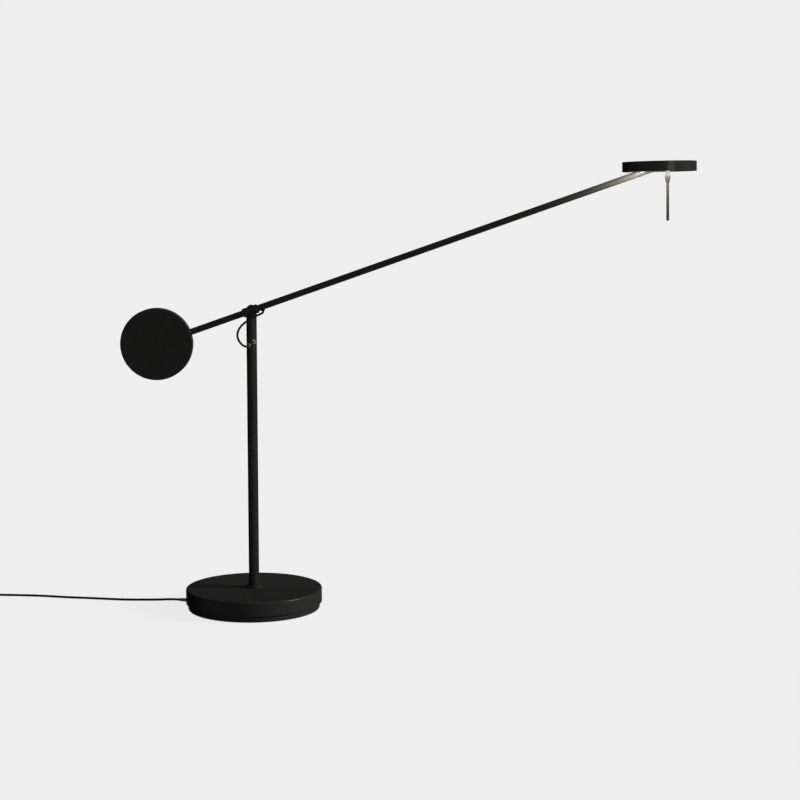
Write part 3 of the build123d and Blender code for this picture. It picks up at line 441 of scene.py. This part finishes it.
@dataclass(frozen=True)
class OpalGlow:
    """The lit opal sheet: a warm white that is brightest over the ring of light chips."""

    centre: Point
    name: str = "opal_glow"
    chip_circle: float = 0.033
    strength: float = 3.0
    bright: Colour = (1.0, 0.90, 0.76)
    pale: Colour = (0.80, 0.70, 0.57)
    milk: tuple[Colour, Colour] = ((0.80, 0.79, 0.76), (0.88, 0.87, 0.85))
    spread: float = 0.02
    grain: float = 500.0
    depth: float = 0.00001

    def make(self) -> bpy.types.Material:
        """Builds the opal's nodes."""
        bench = NodeBench(self.name)
        away = bench.sum(bench.radius(self.centre), self.chip_circle, "SUBTRACT")
        near = bench.span(bench.sum(away, 0.0, "ABSOLUTE"), 1.0, 0.0, 0.0, self.spread)
        bench.join(bench.tint(near, [(0.0, self.pale), (1.0, self.bright)]), bench.shader, "Emission Color")
        milk = bench.noise(self.grain, 2.0)
        bench.paint(milk, *self.milk)
        bench.relief(milk, self.depth, 0.4)
        bench.shape(Roughness=0.42, Emission_Strength=self.strength)
        return bench.material


@dataclass(frozen=True)
class WovenStrap:
    """Black nylon webbing: two crossed sets of threads."""

    name: str = "woven_strap"
    thread: float = 0.0006
    fuzz: float = 2500.0
    cloud: float = 900.0
    depth: float = 0.0001

    def make(self) -> bpy.types.Material:
        """Builds the webbing's nodes."""
        bench = NodeBench(self.name)
        wave = bench.add("ShaderNodeTexChecker", {"Scale": 1.0 / self.thread})
        bench.join(bench.place, wave, "Vector")
        weave = wave.outputs["Fac"]
        threads = [(0.0, (0.006, 0.006, 0.007)), (1.0, (0.018, 0.018, 0.019))]
        bench.join(bench.tint(weave, threads), bench.shader, "Base Color")
        bench.dull(bench.noise(self.cloud), 0.65, 0.85)
        bench.relief(bench.sum(weave, bench.noise(self.fuzz)), self.depth, 0.5)
        bench.shape(Specular_IOR_Level=0.25)
        return bench.material


class Workpiece:
    """A mesh being shaped, which becomes one piece of the lamp."""

    def __init__(self, name: str) -> None:
        """Starts an empty workpiece with the piece's name."""
        self.name = name
        self.mesh = bmesh.new()

    def turn(self, outline: Sequence[tuple[float, float]], place: Matrix, steps: int = 40) -> None:
        """Spins a closed outline into a ring and sets it in place.

        Args:
            outline: Pairs of radius and height, in metres.
            place: Where the ring's axis and foot go.
            steps: Faces round the ring.
        """
        corners = [self.mesh.verts.new((radius, 0.0, height)) for radius, height in outline]
        edges = [self.mesh.edges.new(pair) for pair in zip(corners, corners[1:] + corners[:1])]
        known = set(self.mesh.verts) - set(corners)
        bmesh.ops.spin(
            self.mesh, geom=corners + edges, cent=(0.0, 0.0, 0.0), axis=(0.0, 0.0, 1.0),
            angle=math.tau, steps=steps, use_merge=True, use_duplicate=False,
        )
        new = [v for v in self.mesh.verts if v not in known]
        bmesh.ops.transform(self.mesh, matrix=place, verts=new)

    def piece(self, finish: bpy.types.Material, carrier: Carrier, sharp: float = 40.0) -> bpy.types.Object:
        """Closes the mesh and makes it a piece that rides on a body.

        Args:
            finish: The piece's material.
            carrier: The body that it rides on.
            sharp: Edges that turn by more degrees than this stay sharp.

        Returns:
            The piece.
        """
        bmesh.ops.remove_doubles(self.mesh, verts=self.mesh.verts, dist=WELD)
        bmesh.ops.recalc_face_normals(self.mesh, faces=self.mesh.faces)
        for face in self.mesh.faces:
            face.smooth = True
        data = bpy.data.meshes.new(self.name)
        self.mesh.to_mesh(data)
        self.mesh.free()
        data.set_sharp_from_angle(angle=math.radians(sharp))
        data.materials.append(finish)
        made = bpy.data.objects.new(self.name, data)
        bpy.context.scene.collection.objects.link(made)
        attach(made, carrier.value)
        log.info("%s: %d faces on %s", self.name, len(data.polygons), carrier.value)
        return made


def ribs(
    workpiece: Workpiece, root: Vector, tip: Vector, radii: tuple[float, float], count: int, size: float
) -> None:
    """Lays moulded rings along a tapered strain relief.

    Args:
        workpiece: The mesh that takes the rings.
        root: The relief's thick end.
        tip: Its thin end.
        radii: Its radius at the root and at the tip.
        count: How many rings it has.
        size: How far a ring stands out, which is half its width.
    """
    run = tip - root
    turn = run.to_track_quat("Z", "Y").to_matrix().to_4x4()
    for i in range(count):
        share = (i + RIB_LEAD) / (count + RIB_SLACK)
        radius = radii[0] + (radii[1] - radii[0]) * share
        outline = [(radius + size * out, size * up) for out, up in RIB_PROFILE]
        workpiece.turn(outline, Matrix.Translation(root + run * share) @ turn, RIB_STEPS)


def nurbs(name: str, points: Iterable[Vector], thickness: float, steps: int) -> bpy.types.Object:
    """Makes an open NURBS curve that is drawn towards its points.

    Args:
        name: The curve's name.
        points: Its control points, in metres.
        thickness: The tube's diameter, or 0 for a bare line.
        steps: Divisions between two points.

    Returns:
        The curve, not yet on a body.
    """
    data = bpy.data.curves.new(name, "CURVE")
    data.dimensions = "3D"
    data.resolution_u = steps
    data.bevel_depth = thickness / 2
    data.bevel_resolution = TUBE_ROUNDNESS
    data.use_fill_caps = thickness > 0
    route = list(points)
    spline = data.splines.new("NURBS")
    spline.points.add(len(route) - 1)
    for place, point in zip(spline.points, route):
        place.co = (*point, 1.0)
    spline.order_u = CURVE_ORDER
    spline.use_endpoint_u = True
    spline.use_smooth = True
    made = bpy.data.objects.new(name, data)
    bpy.context.scene.collection.objects.link(made)
    return made


def nodes_together(name: str, nodes: Iterable[str]) -> bpy.types.Collection:
    """Gathers CAD nodes in a collection of their own, for the light that reaches only them."""
    together = bpy.data.collections.new(name)
    for node in nodes:
        together.objects.link(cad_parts[node])
    return together


@dataclass
class PhotoCamera:
    """The photograph's camera: far off, higher than the pivot, looking slightly down."""

    place: Point = (0.1992, -2.271, 0.5458)
    pitch: float = 6.554
    focal_pixels: float = 1695.0
    picture: float = 800.0
    sensor: float = 36.0
    clip: tuple[float, float] = (0.05, 900.0)

    def build(self) -> None:
        """Sets up the scene's camera."""
        data = bpy.data.cameras.new("photo_camera")
        data.sensor_width = self.sensor
        data.lens = self.focal_pixels / self.picture * data.sensor_width
        data.clip_start, data.clip_end = self.clip
        camera = bpy.data.objects.new("photo_camera", data)
        camera.location = self.place
        camera.rotation_euler = (math.radians(90.0 - self.pitch), 0.0, 0.0)
        bpy.context.scene.collection.objects.link(camera)
        bpy.context.scene.camera = camera
        log.info("camera at %s, lens %.1f mm", self.place, data.lens)


@dataclass
class Studio:
    """A pale floor under a soft sky, a wide key light from the right and two square ones in front."""

    pale: float = 0.863
    sky_left: float = 0.1
    sky_right: float = 0.58
    key_from: Point = (0.932, -0.070, 0.355)
    key_strength: float = 6.0
    key_angle: float = 20.0
    side_place: Point = (1.105, -1.074, 0.60)
    side_size: tuple[float, float] = (0.4, 0.4)
    side_aim: float = 0.5414
    side_lights: tuple[tuple[float, tuple[str, ...]], ...] = (
        (6.0, ("head_shell",)), (26.0, ("post_tube", "post_cap")),
    )
    floor_reach: float = 200.0
    floor_drop: float = 0.0002
    even: float = 0.92
    bounce: float = 0.3

    def build(self) -> None:
        """Makes the sky, the floor and the lights."""
        self.make_sky()
        self.make_floor()
        self.make_key()
        self.make_side()
        bpy.context.scene.view_settings.view_transform = "Standard"
        log.info("studio: sky %.2f to %.2f, key %.1f", self.sky_left, self.sky_right, self.key_strength)

    @staticmethod
    def seen(tree: bpy.types.NodeTree) -> bpy.types.NodeSocket:
        """1 for what the camera sees, straight, mirrored or through glass.

        Args:
            tree: The node tree that the nodes go in.

        Returns:
            The factor's socket.
        """
        path = tree.nodes.new("ShaderNodeLightPath")
        total = path.outputs["Is Camera Ray"]
        for ray in ("Is Glossy Ray", "Is Transmission Ray"):
            either = tree.nodes.new("ShaderNodeMath")
            either.operation = "MAXIMUM"
            tree.links.new(total, either.inputs[0])
            tree.links.new(path.outputs[ray], either.inputs[1])
            total = either.outputs[0]
        return total

    def make_sky(self) -> None:
        """Lights the scene softly, more from the right, and shows as the pale backdrop."""
        world = bpy.data.worlds.new("studio_sky")
        world.use_nodes = True
        tree = world.node_tree
        shown = tree.nodes["Background"]
        shown.inputs["Color"].default_value = (self.pale, self.pale, self.pale, 1.0)
        light = tree.nodes.new("ShaderNodeBackground")
        where = tree.nodes.new("ShaderNodeTexCoord")
        split = tree.nodes.new("ShaderNodeSeparateXYZ")
        across = tree.nodes.new("ShaderNodeMapRange")
        ends = {"From Min": -1.0, "From Max": 1.0, "To Min": self.sky_left, "To Max": self.sky_right}
        for key, value in ends.items():
            across.inputs[key].default_value = value
        mix = tree.nodes.new("ShaderNodeMixShader")
        tree.links.new(where.outputs["Generated"], split.inputs[0])
        tree.links.new(split.outputs["X"], across.inputs["Value"])
        tree.links.new(across.outputs["Result"], light.inputs["Strength"])
        tree.links.new(self.seen(tree), mix.inputs[0])
        tree.links.new(light.outputs[0], mix.inputs[1])
        tree.links.new(shown.outputs[0], mix.inputs[2])
        tree.links.new(mix.outputs[0], tree.nodes["World Output"].inputs["Surface"])
        bpy.context.scene.world = world

    def make_floor(self) -> None:
        """Lays a wide floor with a faint shadow, which ends in the backdrop without a line."""
        steep = Vector(self.key_from).normalized().z * math.cos(math.radians(self.key_angle / 2)) ** 2
        level = (self.sky_left + self.sky_right) / 2 + self.key_strength * steep / math.pi
        mesh = bmesh.new()
        bmesh.ops.create_grid(mesh, x_segments=1, y_segments=1, size=self.floor_reach)
        bmesh.ops.translate(mesh, verts=mesh.verts, vec=(0.0, 0.0, -self.floor_drop))
        data = bpy.data.meshes.new("floor")
        mesh.to_mesh(data)
        mesh.free()
        material = bpy.data.materials.new("pale_floor")
        material.use_nodes = True
        tree = material.node_tree
        tree.nodes.clear()
        output = tree.nodes.new("ShaderNodeOutputMaterial")
        kinds = ("BsdfDiffuse", "Emission", "BsdfDiffuse")
        paper, plain, card = (tree.nodes.new(f"ShaderNode{kind}") for kind in kinds)
        paper.inputs["Color"].default_value = (*[self.pale / level] * 3, 1.0)
        plain.inputs["Color"].default_value = (*[self.pale] * 3, 1.0)
        card.inputs["Color"].default_value = (*[self.bounce] * 3, 1.0)
        shown, both = tree.nodes.new("ShaderNodeMixShader"), tree.nodes.new("ShaderNodeMixShader")
        shown.inputs[0].default_value = self.even
        tree.links.new(paper.outputs[0], shown.inputs[1])
        tree.links.new(plain.outputs[0], shown.inputs[2])
        tree.links.new(self.seen(tree), both.inputs[0])
        tree.links.new(card.outputs[0], both.inputs[1])
        tree.links.new(shown.outputs[0], both.inputs[2])
        tree.links.new(both.outputs[0], output.inputs["Surface"])
        data.materials.append(material)
        floor = bpy.data.objects.new("floor", data)
        bpy.context.scene.collection.objects.link(floor)

    def make_key(self) -> None:
        """Hangs the wide key light to the right of the lamp."""
        data = bpy.data.lights.new("key", "SUN")
        data.energy = self.key_strength
        data.angle = math.radians(self.key_angle)
        key = bpy.data.objects.new("key", data)
        key.rotation_euler = Vector(self.key_from).to_track_quat("Z", "Y").to_euler()
        bpy.context.scene.collection.objects.link(key)

    def make_side(self) -> None:
        """Stands square lights at the front right, each of which reaches only the pieces named with it."""
        away = Vector((self.side_place[0] - self.side_aim, self.side_place[1], 0.0))
        for power, lit in self.side_lights:
            data = bpy.data.lights.new(f"{lit[0]}_side", "AREA")
            data.shape = "RECTANGLE"
            data.size, data.size_y = self.side_size
            data.energy = power
            side = bpy.data.objects.new(f"{lit[0]}_side", data)
            side.location = self.side_place
            side.rotation_euler = away.to_track_quat("Z", "Y").to_euler()
            bpy.context.scene.collection.objects.link(side)
            side.light_linking.receiver_collection = nodes_together(f"{lit[0]}_side_near", lit)


@dataclass
class Finishes:
    """The lamp's finishes, made once each, and which CAD node wears which."""

    opal_centre: Point = (0.54141, -0.014, 0.5935)
    parting: float = 0.013
    rubber: bpy.types.Material = field(init=False)
    dull_rubber: bpy.types.Material = field(init=False)
    webbing: bpy.types.Material = field(init=False)
    worn: dict[str, tuple[bpy.types.Material, tuple[str, ...]]] = field(init=False)

    def __post_init__(self) -> None:
        """Makes the finishes."""
        self.rubber = SoftRubber().make()
        self.dull_rubber = SoftRubber(
            "dull_rubber", (0.0040, 0.0040, 0.0040), (0.0070, 0.0070, 0.0069), shine=0.04
        ).make()
        self.webbing = WovenStrap().make()
        coat = PowderCoat().make()
        bare = ((0.42, 0.41, 0.40), (0.62, 0.61, 0.59))
        steel = TurnedMetal("turned_steel", *bare)
        cross_steel = TurnedMetal("cross_turned_steel", *bare, turning=Turning.CROSSWISE)
        nickel = TurnedMetal(
            "satin_nickel", (0.17, 0.165, 0.155), (0.24, 0.232, 0.218), (0.16, 0.24), Turning.CROSSWISE
        )
        brass = TurnedMetal(
            "turned_brass", (0.55, 0.36, 0.13), (0.72, 0.50, 0.21), (0.24, 0.36), Turning.ALONG
        )
        aluminium = TurnedMetal("plain_aluminium", (0.66, 0.66, 0.67), (0.80, 0.80, 0.81), (0.28, 0.42))
        oxide = TurnedMetal("black_oxide_steel", (0.028, 0.028, 0.029), (0.05, 0.05, 0.051))
        # Painted shade: the post wears a darker copy of the black powder coat, so that its side away from
        # the light reads almost black.
        painted_shade_post_coat = PowderCoat("painted_shade_post_coat", (0.0085, 0.0085, 0.0082), (0.0098, 0.0097, 0.0094))
        pad = SoftRubber("foot_rubber", rings_about=(0.0, 0.0, 0.0))
        black = ((0.0075, 0.0075, 0.0078), (0.0115, 0.0115, 0.0117))
        moulding = MouldedPlastic("black_moulding", *black)
        case = MouldedPlastic("adapter_moulding", *black, parting=self.parting)
        spacer = MouldedPlastic("white_moulding", (0.74, 0.74, 0.72), (0.82, 0.82, 0.80))
        green = CircuitBoard("green_board", (0.012, 0.085, 0.032), (0.03, 0.17, 0.07))
        pale = CircuitBoard("white_board", (0.78, 0.78, 0.77), (0.70, 0.71, 0.70))
        self.worn = {
            "coat": (coat, (
                "base_cover", "base_plate", "post_spindle", "arm_sleeve", "arm_tube",
                "counterweight", "head_knuckle", "head_shell", "handle_socket", "handle_rod",
            )),
            # The post's darker coat is painted shade, the same paint as the rest shown darker.
            "painted shade post coat": (painted_shade_post_coat.make(), ("post_tube", "post_cap")),
            "pad": (pad.make(), ("foot_pad",)),
            "gland": (self.dull_rubber, ("post_gland", "arm_grommet")),
            "rubber": (self.rubber, ("cord_relief", "adapter_relief", "post_lead", "arm_lead")),
            "iron": (CastIron().make(), ("base_ballast",)),
            "steel": (steel.make(), (
                "base_screws", "touch_contact", "stop_pin", "stop_washer", "lock_nut", "head_hub",
                "hub_screws",
            )),
            "oxide": (oxide.make(), ("sleeve_set_screw", "weight_set_screw")),
            "cross steel": (cross_steel.make(), (
                "plug_pins", "pivot_screw", "spring_washer", "knuckle_clip", "hinge_pin",
            )),
            "nickel": (nickel.make(), ("gland_tip_ring", "gland_seat_ring")),
            "brass": (brass.make(), ("pivot_insert", "tip_bush")),
            "aluminium": (aluminium.make(), ("heat_spreader",)),
            "plastic": (moulding.make(), ("post_bush", "friction_washer", "pivot_plug")),
            "case": (case.make(), ("adapter_case", "adapter_face")),
            "spacer": (spacer.make(), ("spacer_ring",)),
            "green board": (green.make(), ("control_board", "adapter_board")),
            "light board": (pale.make(), ("light_board",)),
            "chips": (Phosphor().make(), ("light_chips",)),
            "opal": (OpalGlow(self.opal_centre).make(), ("diffuser",)),
        }

    def dress(self) -> None:
        """Gives every CAD node its finish."""
        for title, (material, nodes) in self.worn.items():
            for node in nodes:
                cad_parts[node].material_slots[0].material = material
            log.info("%s on %s", title, ", ".join(nodes))


@dataclass
class Adapter:
    """The plug-in adapter at the cord's far end: the ribs moulded on its strain relief."""

    relief_root: Point = (-421.06, 16.8, 13.05)
    relief_tip: Point = (-420.73, 38.8, 13.05)
    radii: tuple[float, float] = (3.1, 2.1)
    rib_count: int = 6
    rib_size: float = 0.35

    def build(self, finishes: Finishes) -> bpy.types.Object:
        """Makes the ribs.

        Args:
            finishes: The lamp's finishes.

        Returns:
            The piece, which belongs to the cord.
        """
        work = Workpiece("adapter_relief_ribs")
        radii = (self.radii[0] * MM, self.radii[1] * MM)
        root, tip = metres(self.relief_root), metres(self.relief_tip)
        ribs(work, root, tip, radii, self.rib_count, self.rib_size * MM)
        return work.piece(finishes.rubber, Carrier.BASE)


@dataclass
class MainsCord:
    """The supply cord: out of the base at its left rear, along the floor, then wound and strapped."""

    diameter: float = 3.2
    length: float = 1.77
    route: tuple[Point, ...] = (
        (-105.471, 26.297, 4.1), (-118.085, 29.442, 4.1), (-136.0, 34.2, 2.1), (-157.0, 36.2, 1.65),
        (-182.0, 36.4, 1.65), (-207.0, 40.6, 1.65), (-236.0, 46.4, 1.65), (-268.0, 51.2, 1.65),
        (-299.0, 59.2, 1.65), (-332.0, 63.4, 1.65), (-358.0, 65.0, 1.65), (-378.0, 67.1, 1.65),
        (-391.801, 66.778, 1.65),
    )
    coil_centre: Point = (-395.0, 42.0, 1.65)
    coil_radius: float = 24.7
    pitch: float = 3.8
    layer_turns: int = 3
    layers: int = 4
    start: float = 90.0
    turns: float = 12.25
    half_climb: float = 0.25
    per_turn: int = 16
    steps: int = 4
    stub: Point = (-420.725, 38.80, 13.05)
    strap_azimuth: float = 300.0
    strap_width: float = 8.0
    strap_thickness: float = 0.5
    strap_play: float = 0.1
    strap_foot: float = 0.55
    strap_corner: float = 1.4
    strap_corner_steps: int = 5

    def coil_point(self, turn: float) -> Vector:
        """A point of the coil's centre line.

        Args:
            turn: Turns from the coil's start.

        Returns:
            The point, in millimetres.
        """
        change = min(max(round(turn / self.layer_turns), 1), self.layers - 1)
        past = turn - self.layer_turns * change
        if abs(past) <= self.half_climb:
            depth = self.layer_turns - past * past / (2 * self.half_climb) - self.half_climb / 2
            climb = change - (1 + math.cos(math.pi * (past + self.half_climb) / (2 * self.half_climb))) / 2
            inwards = change % 2 == 1
        else:
            climb = change - 1 if past < 0 else change
            depth = turn - self.layer_turns * climb
            inwards = climb % 2 == 0
        radius = self.coil_radius - self.pitch * (depth if inwards else self.layer_turns - depth)
        radius /= math.cos(math.pi / self.per_turn)
        angle = math.radians(self.start + 360.0 * turn)
        out = Vector((radius * math.cos(angle), radius * math.sin(angle), self.pitch * climb))
        return Vector(self.coil_centre) + out

    def points(self) -> list[Vector]:
        """The cord's control points from the base to the adapter, in metres."""
        count = round(self.turns * self.per_turn)
        wound = [self.coil_point(i / self.per_turn) for i in range(1, count + 1)]
        return [metres(p) for p in (*self.route, *wound, self.stub)]

    def build(self, finishes: Finishes) -> None:
        """Lays the cord and its strap, and hides the CAD cord and coil that they stand in for.

        Args:
            finishes: The lamp's finishes.
        """
        cord = nurbs("supply_cord", self.points(), self.diameter * MM, self.steps)
        cord.data.materials.append(finishes.dull_rubber)
        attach(cord, Carrier.BASE.value)
        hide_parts("mains_cord", "cord_coil")
        adapter_ribs = Adapter().build(finishes)
        strap = self.strap(finishes)

    def strap(self, finishes: Finishes) -> bpy.types.Object:
        """Makes the webbing strap that holds the coil.

        Args:
            finishes: The lamp's finishes.

        Returns:
            The strap.
        """
        half, play = self.diameter / 2, self.strap_play
        inner = self.coil_radius - self.pitch * (self.layer_turns - 1) - half - play
        outer = self.coil_radius + half + play
        low = self.strap_foot
        high = self.coil_centre[2] + self.pitch * (self.layers - 1) + half + play
        work = Workpiece("coil_strap")
        places = ((inner, 0.0, low), (outer, 0.0, low), (outer, 0.0, high), (inner, 0.0, high))
        corners = [work.mesh.verts.new(place) for place in places]
        edges = [work.mesh.edges.new(pair) for pair in zip(corners, corners[1:] + corners[:1])]
        bmesh.ops.bevel(
            work.mesh, geom=corners + edges, offset=self.strap_corner, segments=self.strap_corner_steps,
            profile=0.5, affect="VERTICES", material=-1,
        )
        rim = list(work.mesh.edges)
        band = bmesh.ops.extrude_edge_only(work.mesh, edges=rim)["geom"]
        moved = [v for v in band if isinstance(v, bmesh.types.BMVert)]
        bmesh.ops.translate(work.mesh, verts=moved, vec=(0.0, self.strap_width, 0.0))
        bmesh.ops.translate(work.mesh, verts=work.mesh.verts, vec=(0.0, -self.strap_width / 2, 0.0))
        bmesh.ops.recalc_face_normals(work.mesh, faces=work.mesh.faces)
        bmesh.ops.solidify(work.mesh, geom=list(work.mesh.faces), thickness=-self.strap_thickness)
        turn = Matrix.Rotation(math.radians(self.strap_azimuth), 4, "Z")
        middle = Matrix.Translation((self.coil_centre[0], self.coil_centre[1], 0.0))
        place = Matrix.Scale(MM, 4) @ middle @ turn
        bmesh.ops.transform(work.mesh, matrix=place, verts=work.mesh.verts)
        return work.piece(finishes.webbing, Carrier.BASE)


@dataclass
class BaseFittings:
    """What the base carries beside its CAD nodes: the ribs of the cord's strain relief."""

    exit_azimuth: float = 166.0
    exit_height: float = 4.1
    root_reach: float = 90.2
    tip_reach: float = 108.0
    radii: tuple[float, float] = (2.65, 2.05)
    rib_count: int = 5
    rib_size: float = 0.3

    def build(self, finishes: Finishes) -> None:
        """Makes the ribs.

        Args:
            finishes: The lamp's finishes.
        """
        azimuth = math.radians(self.exit_azimuth)
        out = Vector((math.cos(azimuth), math.sin(azimuth), 0.0))
        height = Vector((0.0, 0.0, self.exit_height))
        work = Workpiece("cord_relief_ribs")
        radii = (self.radii[0] * MM, self.radii[1] * MM)
        root, tip = metres(out * self.root_reach + height), metres(out * self.tip_reach + height)
        ribs(work, root, tip, radii, self.rib_count, self.rib_size * MM)
        work.piece(finishes.rubber, Carrier.BASE)


@dataclass
class CableLoop:
    """The thin cable that leaves the post's gland, swings left and goes into the arm."""

    diameter: float = 3.0
    length: float = 0.0789
    route: tuple[Point, ...] = (
        (-2.8, -16.937, 360.1), (-4.568, -20.281, 358.794), (-8.4, -22.4, 359.3), (-13.4, -23.0, 363.9),
        (-17.0, -23.3, 370.7), (-16.8, -23.6, 378.2), (-12.4, -24.0, 386.3), (-4.7, -24.4, 392.6),
        (4.1, -25.0, 398.4), (10.3, -24.9, 400.9), (14.9, -23.6, 402.6), (17.853, -19.785, 404.978),
        (17.039, -17.728, 407.290),
    )
    bend_from: Point = (-6.0, -20.0, 366.0)
    bend_to: Point = (16.0, -21.0, 402.0)
    steps: int = 10

    def build(self, finishes: Finishes) -> None:
        """Makes the cable, which runs from the post to the arm.

        Args:
            finishes: The lamp's finishes.
        """
        curve = nurbs("loop_line", [metres(p) for p in self.route], 0.0, self.steps)
        line = bpy.data.meshes.new_from_object(curve)
        curve.data.bevel_depth = self.diameter / 2 * MM
        curve.data.use_fill_caps = True
        sheath = bpy.data.meshes.new_from_object(curve)
        sheath.name = "loop_sheath"
        bpy.data.meshes.remove(line)
        bpy.data.objects.remove(curve)
        sheath.materials.clear()
        sheath.materials.append(finishes.dull_rubber)
        sheath.shade_smooth()
        cable = bpy.data.objects.new("loop_sheath", sheath)
        bpy.context.scene.collection.objects.link(cable)
        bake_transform(cable)
        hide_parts("loop_cable")
        log.info("loop_sheath: %d faces between post and arm", len(sheath.polygons))


@dataclass
class HeadGlow:
    """The light that the opal sheet throws on some of the pieces near it."""

    name: str
    power: float
    lights: tuple[str, ...]
    centre: Point = (0.54141, -0.014, 0.5917)
    tilt: float = 1.1
    diameter: float = 0.088
    colour: Colour = (1.0, 0.88, 0.76)

    def build(self) -> None:
        """Hangs the light under the sheet or beside it, where it turns with the head."""
        data = bpy.data.lights.new(self.name, "AREA")
        data.shape = "DISK"
        data.size = self.diameter
        data.energy = self.power
        data.color = self.colour
        glow = bpy.data.objects.new(self.name, data)
        glow.location = self.centre
        glow.rotation_euler = (0.0, math.radians(self.tilt), 0.0)
        glow.visible_camera = False
        bpy.context.scene.collection.objects.link(glow)
        glow.light_linking.receiver_collection = nodes_together(f"{self.name}_near", self.lights)
        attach(glow, Carrier.HEAD.value)
        log.info("%s: %.1f W on %s", self.name, self.power, ", ".join(self.lights))


def corners(box: tuple[Vector, Vector]) -> list[list[float]]:
    """A box's two corners as plain lists of numbers."""
    return [[float(x) for x in corner] for corner in box]


def main() -> None:
    """Builds the lamp's pieces, its studio and its camera."""
    logging.basicConfig(level=logging.INFO, format="%(name)s: %(message)s")
    PhotoCamera().build()
    finishes = Finishes()
    MainsCord().build(finishes)
    CableLoop().build(finishes)
    BaseFittings().build(finishes)
    finishes.dress()
    Studio().build()
    HeadGlow("arm_glow", 2.9, ("arm_tube",), (0.520, -0.050, 0.5920), diameter=0.024).build()
    HeadGlow("handle_glow", 1.3, (
        "head_knuckle", "handle_socket", "handle_rod", "head_shell", "tip_bush", "knuckle_clip",
    )).build()


if __name__ == "__main__":
    main()
